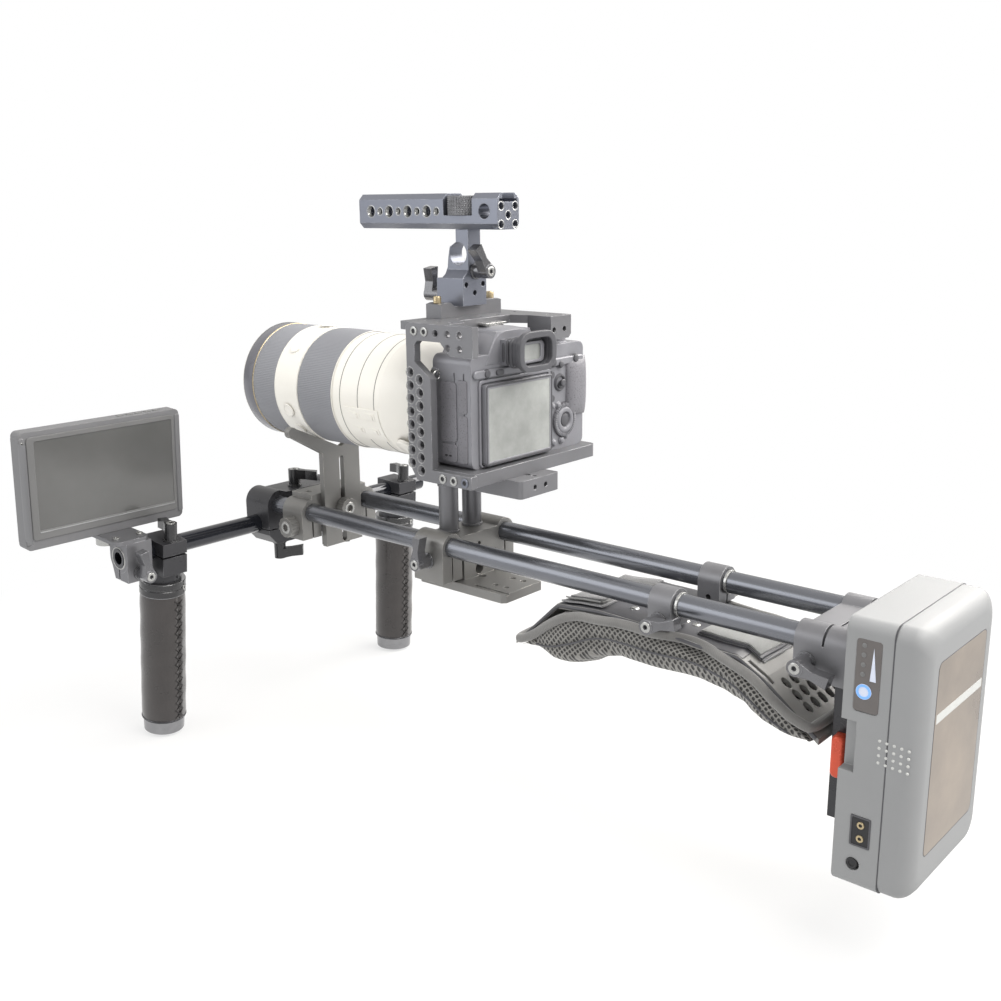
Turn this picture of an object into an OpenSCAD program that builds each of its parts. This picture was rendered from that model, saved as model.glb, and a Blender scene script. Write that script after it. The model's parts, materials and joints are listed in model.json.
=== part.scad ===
// Camera shoulder rig: camera, lens, monitor, grips, shoulder pad and battery on two parallel rods.
// Origin: the tripod thread in the underside of the baseplate. +Y is forward, +X the operator's right.

/* [Rods] */
// Diameter of every rod
rod_d = 15; // [14:0.5:16]
// Distance between the axes of the main rods
rod_pitch = 60; // [59:0.5:62]
// Height of the main rods over the underside of the baseplate
rod_h = 36; // [35:0.5:38]
// Length of each front rod
front_rod_l = 426; // [420:1:440]
// Length of each rear rod
rear_rod_l = 114; // [112:1:120]
// Length of the cross rod
cross_rod_l = 330; // [325:1:340]
// Bore through each rod
rod_bore_d = 10; // [6:0.5:11]

/* [Thumb levers] */
// Diameter of a lever's hub
lever_hub_d = 10; // [8:0.5:11]
// Height of a lever's hub
lever_hub_h = 15; // [12:0.5:17]
// Length of a lever's arm from its axis
lever_arm_l = 20; // [14:0.5:20]
// Height of a lever's arm
lever_arm_h = 8; // [5:0.5:9]
// Diameter of a lever's screw
lever_screw_d = 4; // [3:0.5:4]

/* [Clamps] */
// Length of the front clamp along the main rods
front_clamp_l = 30; // [28:1:32]
// Radius of the front clamp round each rod
front_lobe_r = 12.5; // [11:0.5:14]
// Radius of the other clamps round each rod
lobe_r = 10.5; // [9.5:0.5:11]
// Width of a grip clamp
grip_clamp_w = 22; // [18:1:24]

/* [Grips] */
// Diameter of a grip over its leather
grip_d = 36; // [34:1:40]
// Length of the leather wrap
leather_l = 106; // [90:1:120]
// Thickness of the leather
leather_t = 2; // [1.5:0.5:3]
// Distance of the left grip from the middle
left_grip_x = 136.5; // [134:0.5:137]
// Distance of the right grip from the cross rod's right end
right_grip_in = 32; // [20:1:39]
// Lean of the left grip, bottom forward, in degrees
left_grip_lean = 7; // [3:1:10]
// Lean of the right grip, bottom forward, in degrees
right_grip_lean = 3; // [0:1:10]

/* [Monitor] */
// Width of the monitor
monitor_w = 135; // [125:1:140]
// Height of the monitor
monitor_h = 90; // [80:1:100]
// Thickness of the monitor's housing
monitor_t = 11; // [9:1:14]
// Lean of the monitor's top to the operator, in degrees
monitor_lean = 3.6; // [2:0.2:4]
// Width of the clamp that holds the monitor
monitor_clamp_w = 22; // [19:1:23]

/* [Lens] */
// Diameter of the lens
lens_d = 94; // [88:1:96]
// Length of the lens in front of the camera's mount
lens_l = 205; // [200:1:215]
// Length of the focus ring
focus_l = 28; // [20:1:34]
// Length of the zoom ring
zoom_l = 40; // [30:1:44]
// Height of the lens axis over the main rods
lens_rise = 104.5; // [104:0.5:108]

/* [Camera] */
// Width of the camera
camera_w = 128; // [124:1:132]
// Height of the camera's shoulders over its base
camera_h = 80; // [78:1:84]
// Depth of the camera's body
camera_depth = 36; // [34:1:40]
// Height of the viewfinder hump over the shoulders
hump_h = 15; // [12:0.5:15]
// Width of the folding display
display_w = 74; // [68:1:76]
// Height of the folding display
display_h = 58; // [50:1:60]

/* [Cage] */
// Thickness of the cage's side plate
cage_t = 6; // [5:0.5:7]
// Height of the cage's side plate
cage_h = 112; // [110:1:114]
// Number of holes in each column of the side plate
cage_holes = 8; // [4:1:8]
// Pitch of the holes in the side plate
cage_pitch = 9.3; // [7:0.1:9.5]

/* [Handle] */
// Length of the top handle
handle_l = 140; // [130:1:150]
// Width of the top handle
handle_w = 23; // [21:1:26]
// Height of the top handle
handle_h = 25; // [23:1:28]

/* [Baseplate] */
// Length of the tripod plate
tripod_plate_l = 88; // [80:1:90]
// Width of the tripod plate
tripod_plate_w = 46; // [42:1:47]
// Thickness of the tripod plate
tripod_plate_t = 7; // [6.5:0.5:7.5]
// Diameter of the tripod thread
tripod_thread_d = 6.35; // [5:0.05:9.5]
// Width of the riser plate
riser_w = 44; // [42:1:50]
// Length of the riser plate
riser_l = 92; // [85:1:94]

/* [Shoulder pad] */
// Length of the pad's frame
pad_l = 233; // [215:1:233]
// Width of the pad's frame
pad_w = 78; // [70:1:82]
// Thickness of the pad's frame
pad_t = 3.5; // [2.5:0.5:4]
// Width of the cushion
cushion_w = 96; // [84:1:100]
// Thickness of the cushion
cushion_t = 25; // [18:1:28]

/* [Battery] */
// Width of the battery
battery_w = 104; // [95:1:110]
// Height of the battery
battery_h = 163; // [150:1:165]
// Depth of the rear shell of the battery
battery_rear_t = 19; // [15:1:25]
// Depth of the front shell of the battery
battery_front_t = 27.5; // [24:0.5:29]

/* [Hidden] */
$fn = 48;

// Clearances shared by all pieces
fit = 0.05;
seat = 0.1;
soft_gap = 0.3;
over = 1;
slit = 1.5;
screw_wall = 0.7;

// Places along the rods
rod_x = rod_pitch / 2;
rod_r = rod_d / 2;
bore_r = rod_r + fit;
joint_y = -197;
rod_front = joint_y + front_rod_l;
rod_rear = joint_y - rear_rod_l;
joint_ring_l = 2;
joint_ring_rise = 0.5;
stud_l = 10;
stud_gap = 0.1;
rod_thread_depth = 14;
cross_drop = 16.5;
cross_inset = 6;
cross_y = rod_front - cross_inset;
cross_z = rod_h - cross_drop;
cross_left = 176;
right_grip_x = cross_rod_l - cross_left - right_grip_in;
rod_chamfer = 0.8;

// Thumb levers
lever_washer_d = 12;
lever_washer_h = 1.2;
lever_waist_w = 5;
lever_tip_w = 7.5;
lever_waist_share = 0.5;
lever_droop = 2.5;
lever_socket_d = 3;
lever_socket_depth = 2;
socket_sides = 6;
fine_fn = 96;
lever_screw_r = lever_screw_d / 2 + fit;
lever_reach = rod_r + fit + screw_wall + lever_screw_r;

// Front clamp
front_clamp_lead = 7;
front_clamp_y = rod_front + front_clamp_lead - front_clamp_l;
front_slab_rise = 10;
front_split_drop = 20;
front_jaw_h = 13;
front_jaw_gap = 1;
front_tooth = 4;
front_teeth = 4;
front_tooth_fn = 4;
front_slab_top = rod_h + front_slab_rise;
front_split = rod_h - front_split_drop;
front_jaw_top = front_split - front_jaw_gap;
front_jaw_bottom = front_jaw_top - front_jaw_h;
front_top_lever_x = -3;
front_top_lever_back = 5;
front_top_lever_y = cross_y - front_top_lever_back;
front_low_lever_y = cross_y - lever_reach;
front_low_lever_x = 27;
front_top_screw = 15;
front_low_screw = front_jaw_h + front_tooth;
front_lever_turn = -45;

// Grips
grip_clamp_back = 18;
grip_clamp_front = 12;
grip_clamp_up = 9.5;
grip_clamp_down = 18;
grip_slit_drop = 2;
grip_lever_back = 12;
grip_lever_screw = 24;
grip_lever_turn = 75;
grip_neck_d = 30;
grip_neck_h = 8;
grip_collar_h = 12;
grip_bottom_h = 18;
grip_tube_d = grip_d - 2 * (leather_t + fit);
grip_taper = 1.6;
grip_groove = 1;
grip_screw_d = 5;
grip_top = grip_clamp_down + grip_neck_h;
leather_top = grip_top + grip_collar_h;
leather_bottom = leather_top + leather_l;

// Monitor and its mount
monitor_clamp_r = 12;
monitor_clamp_up = 14;
monitor_clamp_down = 18;
monitor_plate_t = 3;
monitor_plate_w = 30;
monitor_plate_front = 36;
monitor_plate_side = 10;
monitor_screw_front = 20;
monitor_x = 174;
monitor_face = 14.5;
monitor_r = 4;
monitor_back_w = 76;
monitor_back_h = 62;
monitor_back_t = 7;
monitor_screen_w = 112;
monitor_screen_h = 68;
monitor_screen_t = 1;
monitor_screen_rise = 3;
monitor_vents = 4;
thumbwheel_d = 15;
thumbwheel_h = 7;
thumbwheel_screw_d = 6;
thumbwheel_screw_l = 6;
monitor_lever_in = 9.5;
monitor_lever_turn = 100;
monitor_base = monitor_clamp_up + monitor_plate_t + seat;

// Lens
lens_r = lens_d / 2;
lens_z = rod_h + lens_rise;
lens_flange_y = 18;
lens_front = lens_flange_y + lens_l;
lens_rim_l = 13;
lens_band_l = 28;
lens_ring_t = 4;
lens_wall = 4;
lens_tail_l = 42;
lens_mount_r = 33;
lens_hood_depth = 14;
focus_y = lens_front - lens_rim_l - focus_l;
zoom_y = focus_y - lens_band_l - zoom_l;
lens_core_r = lens_r - lens_ring_t;
lens_button_d = 11;
lens_button_h = 1;
lens_button_turn = 45;
lens_ribs = 60;
glass_shares = [1, 0.88, 0.75, 0.6, 0.45, 0.3, 0.15, 0];
glass_fall_share = 0.6;

// Lens support
support_l = 25;
support_gap = 18;
support_y = front_clamp_y - support_gap - support_l;
support_web_drop = 4;
support_web_rise = 15;
support_leg_drop = 22;
support_leg_w = 10;
support_lobe_r = 11;
cradle_t = 5;
cradle_w = 40;
cradle_bottom = 5;
cradle_arm = 50;
cradle_rise = 25;
cradle_arm_w = 9;
cradle_slot_w = 5;
cradle_slot_low = 6;
cradle_slot_high = 72;
support_knob_d = 17;
support_knob_h = 8;
support_knob_screw_l = 11;
support_knob_ribs = 12;
cradle_bore = lens_r + soft_gap;
cradle_crotch = lens_z - cradle_bore / cos(cradle_rise);

// Camera
camera_left = 46;
camera_back = 33;
camera_z = 102.5;
camera_top = camera_z + camera_h;
camera_right = camera_w - camera_left;
camera_r = 6;
lug_out = 2;
hump_w = 62;
hump_top_w = 36;
grip_bulge_w = 26;
grip_bulge_d = 34;
grip_bulge_h = 66;
display_t = 5;
display_left = 36;
display_rise = 2;
display_r = 3;
eyecup_w = 39;
eyecup_h = 25;
eyecup_rise = 71.5;
eyecup_t = 9;
eyepiece_w = 30;
eyepiece_h = 18;
eyepiece_l = 14;
wheel_x = 58;
wheel_rise = 22;
wheel_d = 26;
wheel_t = 3;
dial_teeth = 24;
dial_x = 63;
dial_d = 17;
dial_h = 7;
dial_back = 20;
shutter_d = 11;
shutter_h = 3;
shutter_y = 22;
shutter_x = 68;
button_d = 5;
button_h = 1.6;
button_depth = 1;
camera_back_y = -camera_back;
camera_button_shares = [0.5, 0.61, 0.72, 0.83];
camera_button_places = [for (i = [0:3]) [display_w - display_left + button_d + (i % 2) * 2 * button_d,
    camera_z + camera_h * camera_button_shares[i]]];
camera_body_front = camera_back_y + camera_depth;

// Cage
cage_x = 60;
cage_side_front = 15;
cage_strip_w = 23;
cage_thin_w = 8;
cage_thin_l = 15;
cage_thin_fall = 11;
cage_window_r = 3;
cage_bar_h = 12;
cage_back = 43;
cage_z = 93;
cage_arm_h = 21;
cage_arm_l = 21;
cage_arm_back = 48;
cage_block_hole_d = 5;
cage_block_holes = [[-13.5, 199], [-25, 199], [-36, 199], [-25, 189.5], [-36, 189.5]];
cage_foot_h = 9;
cage_foot_back = 45;
cage_foot_front = 13;
cage_hole_d = 6;
cage_hole_cone = 7.6;
cage_hole_depth = 1.6;
cage_hole_in = 3;
cage_hole_step = 9;
cage_hole_rise = 12;
cage_base_w = 141;
cage_base_t = 9.5;
cage_base_z = camera_z - cage_base_t;
cage_top_t = 6;
cage_top_w = 108;
cage_top_front = 26;
cage_top_back = 9;
cage_top_side_back = 21;
cage_top_cut_left = 38;
cage_top_cut_right = 24;
cage_top_fillet = 7;
cage_top_holes = [[-44, 10], [-44, -2], [-44, -14], [-22, -1], [0, -1], [20, -1], [44, 4], [44, -30]];
cage_ear_w = 24;
cage_ear_h = 17;
cage_small_d = 4;
cage_top_z = cage_z + cage_h - cage_top_t;

// Riser and baseplate
riser_x = 2;
riser_back = 56;
riser_under = 80;
riser_t = cage_base_z - riser_under;
column_x = 13;
column_y = 22;
column_top = cage_base_z - riser_t;
web_rise = 6;
web_drop = 11;
bridge_back = 3;
bridge_l = 30;
bridge_block_w = 40;
leg_drop = 27;
plate_x = -1.5;
plate_back = 43;
bridge_lever_drop = lever_reach;
plate_small_d = 5;
plate_groove_w = 3;
plate_groove_d = 1.5;

// Top handle
handle_back = 29;
handle_z = 267;
handle_bevel = 4;
handle_big_d = 8;
handle_small_d = 5;
handle_pitch = 19.6;
handle_hole_y = 39.4;
handle_rear_hole_y = -16.6;
handle_rear_hole_d = 10.5;
handle_end_d = 5;
handle_end_depth = 6;
handle_end_x = 7.5;
handle_end_rises = [3.5, 16];
handle_end_mid_rise = 9.8;
handle_slot_y = -5;
handle_slot_l = 27.6;
handle_floor = 9.7;
handle_wheel_x = -1.5;
handle_wheel_y = 8.8;
handle_wheel_d = 27;
handle_wheel_h = 13.5;
handle_wheel_teeth = 36;
handle_wheel_tooth = 1.4;
shoe_w = 18.6;
shoe_h = 2.2;
shoe_slot_w = 12.5;
shoe_l = 22;
shoe_lip = 4;
post_w = 13;
post_hole_d = 16.5;
post_hole_y = 13.4;
post_hole_z = 249.6;
post_base_z = 213;
post_base_h = 19.5;
post_base_w = 25;
post_base_y = 3.5;
post_base_l = 26;
post_front_profile = [[15.5, 258], [21.6, 254.5], [23.2, 247], [24, 240], [26.5, 235]];
post_shoulder_h = 6;
post_holes = [[-9, 15], [9, 15], [0, 9]];
rail_w = 65;
rail_x = 2.5;
rail_y = 9;
rail_l = 15;
handle_front_lever_x = -6.5;
handle_front_lever_rise = 7;
handle_front_lever_turn = -100;
handle_rear_lever_x = 1;
handle_rear_lever_rise = 24.5;
handle_rear_lever_turn = 120;
rail_lip = 3;

// Shoulder pad
pad_rear_gap = 4;
pad_z = 21.5;
pad_drop = 44;
pad_top_shares = [[0, 0.86], [0.035, 0.72], [0.16, 0.07], [0.31, 0], [0.46, 0.02], [0.64, 0.11],
    [0.76, 0.12], [0.84, 0.35], [0.93, 0.72], [1, 1]];
pad_hole_d = 6.5;
pad_hole_pitch = 9.6;
pad_hole_in = 15;
pad_hole_row = 7.5;
pad_slot_in = 4;
pad_slot_w = 3;
pad_slot_l = 17;
pad_slot_back = 33;
pad_clamp_y = -196;
pad_clamp_l = 17;
pad_foot_w = 20;
pad_knob_d = 16;
pad_knob_h = 9;
pad_lever_drop = lever_reach;
pad_lever_turn = -76;
strap_t = 1.6;
front_strap_share = 0.17;
front_strap_l = 34;
rear_strap_share = 0.605;
rear_strap_l = 48;
rear_strap_w = 50;
cushion_stations = 32;
cushion_round = 20;
cushion_crown = 3;
cushion_shares = [[0, 0.24], [0.03, 0.3], [0.07, 0.55], [0.125, 1.34], [0.163, 1.68], [0.2, 1.6],
    [0.28, 1.18], [0.35, 0.94], [0.48, 0.94], [0.6, 0.76], [0.65, 0.73], [0.72, 0.85], [0.8, 1.05],
    [0.84, 1.08], [0.88, 0.95], [0.94, 0.68], [1, 0.24]];
cushion_end_share = 0.2;
cushion_round_share = 0.25;
cushion_side_share = 0.5;
cushion_top_share = 0.35;
pad_knob_ribs = 10;

// Battery and its plate
battery_seam_y = -347;
battery_x = -2;
battery_z = -100;
battery_r = 7;
battery_pocket_h = 31;
battery_pocket_z = 72;
battery_pocket_d = 9;
battery_panel_w = 14.5;
battery_panel_h = 42.5;
battery_panel_in = 6.7;
battery_panel_rise = 109.5;
battery_panel_r = 2.4;
battery_panel_d = 0.8;
battery_label_d = 0.8;
battery_label_w = 72;
battery_label_h = 117;
battery_label_rise = 25;
vlock_w = 44;
vlock_top_w = 52;
vlock_h = 56;
vlock_d = 4;
vlock_rise = 52;
battery_plate_w = 60;
battery_plate_h = 98;
battery_plate_top = 24;
battery_clamp_y = -315.3;
battery_clamp_l = 34;
battery_web_drop = 11.5;
battery_web_rise = 6;
battery_leg_drop = 22;
battery_slot_back = 15;
battery_lever_turn = -106;
latch_w = 8;
latch_h = 24;
latch_l = 10;
latch_rise = 32;
jack_d = 8;
jack_in = 15;
jack_rise = 15.5;
jack_depth = 9;
socket_w = 11.5;
socket_h = 19;
socket_in = 6.2;
socket_rise = 27.5;
power_button_d = 9;
power_button_h = 1.2;
power_button_rise = 122;
power_button_in = 15.5;
led_d = 2.2;
led_in = 17;
led_rise = 10;
led_pitch = 5.7;
battery_front_y = battery_seam_y + battery_front_t;
battery_plate_y = battery_front_y + seat * 2;
battery_plate_t = battery_clamp_y + battery_clamp_l / 3 - battery_plate_y;
pad_front = battery_plate_y + battery_plate_t + pad_rear_gap + pad_l;

// A box given by its limits
module span(x0, x1, y0, y1, z0, z1) {
    translate([x0, y0, z0]) cube([x1 - x0, y1 - y0, z1 - z0]);
}

// A cylinder along each axis, from one limit to the other
module bar_x(x0, x1, y, z, d) {
    translate([x0, y, z]) rotate([0, 90, 0]) cylinder(h = x1 - x0, d = d);
}
module bar_y(y0, y1, x, z, d) {
    translate([x, y0, z]) rotate([-90, 0, 0]) cylinder(h = y1 - y0, d = d);
}
module bar_z(z0, z1, x, y, d) {
    translate([x, y, z0]) cylinder(h = z1 - z0, d = d);
}

// A profile drawn across the rods, pulled along them
module along_y(y0, y1) {
    translate([0, y1, 0]) rotate([90, 0, 0]) linear_extrude(y1 - y0) children();
}

// A profile drawn from the side, pulled across
module along_x(x0, x1) {
    translate([x0, 0, 0]) rotate([90, 0, 90]) linear_extrude(x1 - x0) children();
}

module rounded_rect(w, h, r) {
    translate([r, 0]) square([w - 2 * r, h]);
    translate([0, r]) square([w, h - 2 * r]);
    for (x = [r, w - r], y = [r, h - r]) translate([x, y]) circle(r);
}

module bevelled_rect(w, h, c) {
    polygon([[c, 0], [w - c, 0], [w, c], [w, h - c], [w - c, h], [c, h], [0, h - c], [0, c]]);
}

// Both main rods' places
module at_main_rods() {
    for (side = [-1, 1]) translate([side * rod_x, 0, rod_h]) children();
}

// A thumb lever on its screw, hub along +Z, arm along +X
module thumb_lever(screw_l) {
    color("dimgray") difference() {
        union() {
            translate([0, 0, -screw_l]) cylinder(h = screw_l + lever_hub_h / 2, d = lever_screw_d);
            translate([0, 0, seat]) cylinder(h = lever_washer_h, d = lever_washer_d);
            translate([0, 0, seat]) cylinder(h = lever_hub_h - seat, d = lever_hub_d);
            intersection() {
                translate([0, 0, lever_hub_h - lever_arm_h - lever_droop])
                    linear_extrude(lever_arm_h + lever_droop) polygon([
                        [0, lever_hub_d / 2], [lever_arm_l * lever_waist_share, lever_waist_w / 2],
                        [lever_arm_l, lever_tip_w / 2], [lever_arm_l, -lever_tip_w / 2],
                        [lever_arm_l * lever_waist_share, -lever_waist_w / 2], [0, -lever_hub_d / 2]]);
                translate([0, lever_hub_d, lever_hub_h]) rotate([90, 0, 0])
                    linear_extrude(2 * lever_hub_d) polygon([
                        [0, 0], [lever_arm_l, -lever_droop],
                        [lever_arm_l, -lever_droop - lever_arm_h], [0, -lever_arm_h]]);
            }
        }
        translate([0, 0, lever_hub_h - lever_socket_depth])
            cylinder(h = lever_socket_depth + over, d = lever_socket_d, $fn = socket_sides);
    }
}

// The hole that a lever's screw turns in
module lever_hole(screw_l) {
    translate([0, 0, -screw_l - over]) cylinder(h = screw_l + 2 * over, r = lever_screw_r);
}

// A knurled hand knob, screw along -Z
module hand_knob(d, h, screw_l, ribs) {
    color("gray") difference() {
        union() {
            translate([0, 0, -screw_l]) cylinder(h = screw_l + over, d = lever_screw_d);
            translate([0, 0, seat]) cylinder(h = h - seat, d = d);
        }
        for (i = [0:ribs - 1]) rotate([0, 0, i * 360 / ribs]) translate([d / 2 + lever_socket_d / 3, 0,
            seat])
            translate([0, 0, -over]) cylinder(h = h + 2 * over, d = lever_socket_d);
        translate([0, 0, h - lever_socket_depth])
            cylinder(h = lever_socket_depth + over, d = 2 * lever_socket_d, $fn = socket_sides);
    }
}

module main_rods() {
    color("dimgray") at_main_rods() {
        difference() {
            union() {
                bar_y(rod_rear, joint_y, 0, 0, rod_d);
                bar_y(joint_y - joint_ring_l, joint_y, 0, 0, rod_d + 2 * joint_ring_rise);
                bar_y(joint_y - over, joint_y + stud_l, 0, 0, rod_bore_d - 2 * stud_gap);
            }
            bar_y(rod_rear - over, rod_rear + rod_thread_depth, 0, 0, rod_bore_d);
        }
        difference() {
            bar_y(joint_y, rod_front, 0, 0, rod_d);
            bar_y(joint_y - over, joint_y + rod_thread_depth, 0, 0, rod_bore_d);
            bar_y(rod_front - rod_thread_depth, rod_front + over, 0, 0, rod_bore_d);
        }
    }
}

module cross_rod() {
    color("midnightblue") difference() {
        bar_x(-cross_left, cross_rod_l - cross_left, cross_y, cross_z, rod_d);
        bar_x(-cross_left - over, rod_thread_depth - cross_left, cross_y, cross_z, rod_bore_d);
        bar_x(cross_rod_l - cross_left - rod_thread_depth, cross_rod_l - cross_left + over,
            cross_y, cross_z, rod_bore_d);
    }
}

// The rods' holes in the front clamp
module front_bores() {
    at_main_rods() bar_y(front_clamp_y - over, rod_front + front_clamp_lead + over, 0, 0, 2 * bore_r);
    bar_x(-rod_pitch, rod_pitch, cross_y, cross_z, 2 * bore_r);
}

module at_front_low_levers() {
    for (side = [-1, 1]) translate([side * front_low_lever_x, front_low_lever_y, front_jaw_bottom])
        rotate([180, 0, 0]) children();
}

module front_clamp() {
    jaw_x = rod_x + front_lobe_r;
    color([0.16, 0.16, 0.17]) {
        difference() {
            along_y(front_clamp_y, rod_front + front_clamp_lead) {
                for (side = [-1, 1]) translate([side * rod_x, rod_h]) circle(front_lobe_r);
                translate([-jaw_x, front_split]) square([2 * jaw_x, front_split_drop]);
                translate([-rod_x, rod_h]) square([rod_pitch, front_slab_rise]);
                for (i = [-front_teeth:front_teeth]) translate([i * 2 * front_tooth, front_split])
                    circle(front_tooth / 2, $fn = front_tooth_fn);
            }
            front_bores();
            span(-rod_x, rod_x, front_clamp_y - over, rod_front + front_clamp_lead + over,
                rod_h - slit / 2, rod_h + slit / 2);
            translate([front_top_lever_x, front_top_lever_y, front_slab_top]) lever_hole(front_top_screw);
            at_front_low_levers() lever_hole(front_low_screw);
        }
        difference() {
            along_y(front_clamp_y, rod_front + front_clamp_lead) difference() {
                polygon([[-jaw_x, front_jaw_top], [jaw_x, front_jaw_top], [jaw_x,
                    front_jaw_top - front_tooth],
                    [jaw_x - 2 * front_tooth, front_jaw_bottom], [2 * front_tooth - jaw_x,
                        front_jaw_bottom],
                    [-jaw_x, front_jaw_top - front_tooth]]);
                for (i = [-front_teeth:front_teeth]) translate([i * 2 * front_tooth, front_split])
                    circle(front_tooth / 2 + front_jaw_gap / 2, $fn = front_tooth_fn);
            }
            front_bores();
            at_front_low_levers() lever_hole(front_low_screw);
        }
    }
}

module front_top_lever() {
    translate([front_top_lever_x, front_top_lever_y, front_slab_top])
        rotate([0, 0, front_lever_turn]) thumb_lever(front_top_screw);
}
module front_left_lever() {
    translate([-front_low_lever_x, front_low_lever_y, front_jaw_bottom])
        rotate([180, 0, 0]) rotate([0, 0, -front_lever_turn]) thumb_lever(front_low_screw);
}
module front_right_lever() {
    translate([front_low_lever_x, front_low_lever_y, front_jaw_bottom])
        rotate([180, 0, 0]) rotate([0, 0, -front_lever_turn]) thumb_lever(front_low_screw);
}

// A grip's own frame: its rod along X through the origin, leaning bottom forward
module at_grip(x, lean) {
    translate([x, cross_y, cross_z]) rotate([lean, 0, 0]) children();
}

module grip_clamp() {
    color([0.16, 0.15, 0.15]) difference() {
        union() {
            span(-grip_clamp_w / 2, grip_clamp_w / 2, -grip_clamp_back, grip_clamp_front,
                -grip_clamp_down, grip_clamp_up);
            bar_z(-grip_top, -grip_clamp_down, 0, 0, grip_neck_d);
        }
        bar_x(-grip_clamp_w, grip_clamp_w, 0, 0, 2 * bore_r);
        span(-grip_clamp_w, grip_clamp_w, -grip_clamp_back - over, 0,
            -grip_slit_drop - slit / 2, slit / 2 - grip_slit_drop);
        translate([0, -grip_lever_back, grip_clamp_up]) lever_hole(grip_lever_screw);
        for (side = [-1, 1]) translate([0, 0, -grip_clamp_down - grip_neck_h / 2])
            rotate([0, 0, side * grip_lever_turn]) bar_x(grip_neck_d / 2 - grip_groove,
                grip_neck_d, 0, 0, grip_screw_d / 2);
    }
}

module grip_core() {
    color([0.45, 0.45, 0.46]) difference() {
        union() {
            bar_z(-leather_top, -grip_top, 0, 0, grip_d);
            bar_z(-leather_bottom, -leather_top, 0, 0, grip_tube_d);
            translate([0, 0, -leather_bottom - grip_bottom_h])
                cylinder(h = grip_bottom_h, d1 = grip_d - 2 * grip_taper, d2 = grip_d - grip_taper);
        }
        translate([0, 0, -grip_top - grip_collar_h / 2]) rotate_extrude()
            translate([grip_d / 2, 0]) circle(grip_groove);
        bar_z(-leather_bottom - grip_bottom_h - over, -leather_bottom - grip_bottom_h + grip_groove,
            0, 0, grip_tube_d - grip_neck_h);
        rotate([0, 0, -grip_lever_turn]) bar_x(grip_d / 2 - 2 * grip_groove, grip_d,
            0, -grip_top - grip_collar_h / 2, grip_screw_d);
    }
}

module grip_leather() {
    color([0.25, 0.23, 0.22]) difference() {
        translate([0, 0, -leather_bottom + soft_gap / 2])
            cylinder(h = leather_l - soft_gap, d1 = grip_d - grip_taper, d2 = grip_d);
        bar_z(-leather_bottom - over, -leather_top + over, 0, 0, grip_tube_d + 2 * fit);
    }
}

module grip_lever() {
    translate([0, -grip_lever_back, grip_clamp_up]) rotate([0, 0, grip_lever_turn])
        thumb_lever(grip_lever_screw);
}

module left_grip_clamp() { at_grip(-left_grip_x, left_grip_lean) grip_clamp(); }
module left_grip_lever() { at_grip(-left_grip_x, left_grip_lean) grip_lever(); }
module left_grip_core() { at_grip(-left_grip_x, left_grip_lean) grip_core(); }
module left_grip_leather() { at_grip(-left_grip_x, left_grip_lean) grip_leather(); }
module right_grip_clamp() { at_grip(right_grip_x, right_grip_lean) grip_clamp(); }
module right_grip_lever() { at_grip(right_grip_x, right_grip_lean) grip_lever(); }
module right_grip_core() { at_grip(right_grip_x, right_grip_lean) grip_core(); }
module right_grip_leather() { at_grip(right_grip_x, right_grip_lean) grip_leather(); }

// The monitor's own frame: the cross rod through the origin, X across the monitor's middle
module at_monitor() {
    translate([-monitor_x, cross_y, cross_z]) rotate([monitor_lean, 0, 0]) children();
}

module monitor_clamp() {
    half = monitor_clamp_w / 2;
    color("slategray") at_monitor() translate([monitor_lever_in, 0, 0]) difference() {
        along_x(-half, half) difference() {
            union() {
                circle(monitor_clamp_r);
                translate([-monitor_clamp_r, 0]) square([2 * monitor_clamp_r, monitor_clamp_up]);
                polygon([[-monitor_clamp_r, 0], [monitor_clamp_r, 0], [monitor_clamp_r / 2,
                    -monitor_clamp_down],
                    [-monitor_clamp_r, -monitor_clamp_down]]);
            }
            translate([-slit / 2, -monitor_clamp_down - over]) square([slit, monitor_clamp_down]);
        }
        bar_x(-monitor_clamp_w, monitor_clamp_w, 0, 0, 2 * bore_r);
        translate([0, -monitor_clamp_r, -lever_reach - screw_wall]) rotate([90, 0, 0])
            lever_hole(2 * monitor_clamp_r);
    }
}
module monitor_clamp_lever() {
    at_monitor() translate([monitor_lever_in, -monitor_clamp_r, -lever_reach - screw_wall])
        rotate([90, 0, 0]) rotate([0, 0, monitor_lever_turn]) thumb_lever(monitor_clamp_r + rod_r);
}

module monitor_mount_plate() {
    color("gray") at_monitor() difference() {
        translate([-monitor_plate_side, -monitor_clamp_r, monitor_clamp_up]) linear_extrude(monitor_plate_t)
            rounded_rect(monitor_plate_w, monitor_clamp_r + monitor_plate_front, 2 * monitor_plate_t);
        bar_z(monitor_clamp_up - over, monitor_base + over, 0, monitor_screw_front,
            thumbwheel_screw_d + 2 * fit);
    }
}
module monitor_thumbwheel() {
    color("silver") at_monitor() {
        bar_z(monitor_clamp_up - thumbwheel_h, monitor_clamp_up - seat, 0, monitor_screw_front,
            thumbwheel_d);
        bar_z(monitor_clamp_up - over, monitor_base + thumbwheel_screw_l, 0, monitor_screw_front,
            thumbwheel_screw_d);
    }
}

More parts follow.
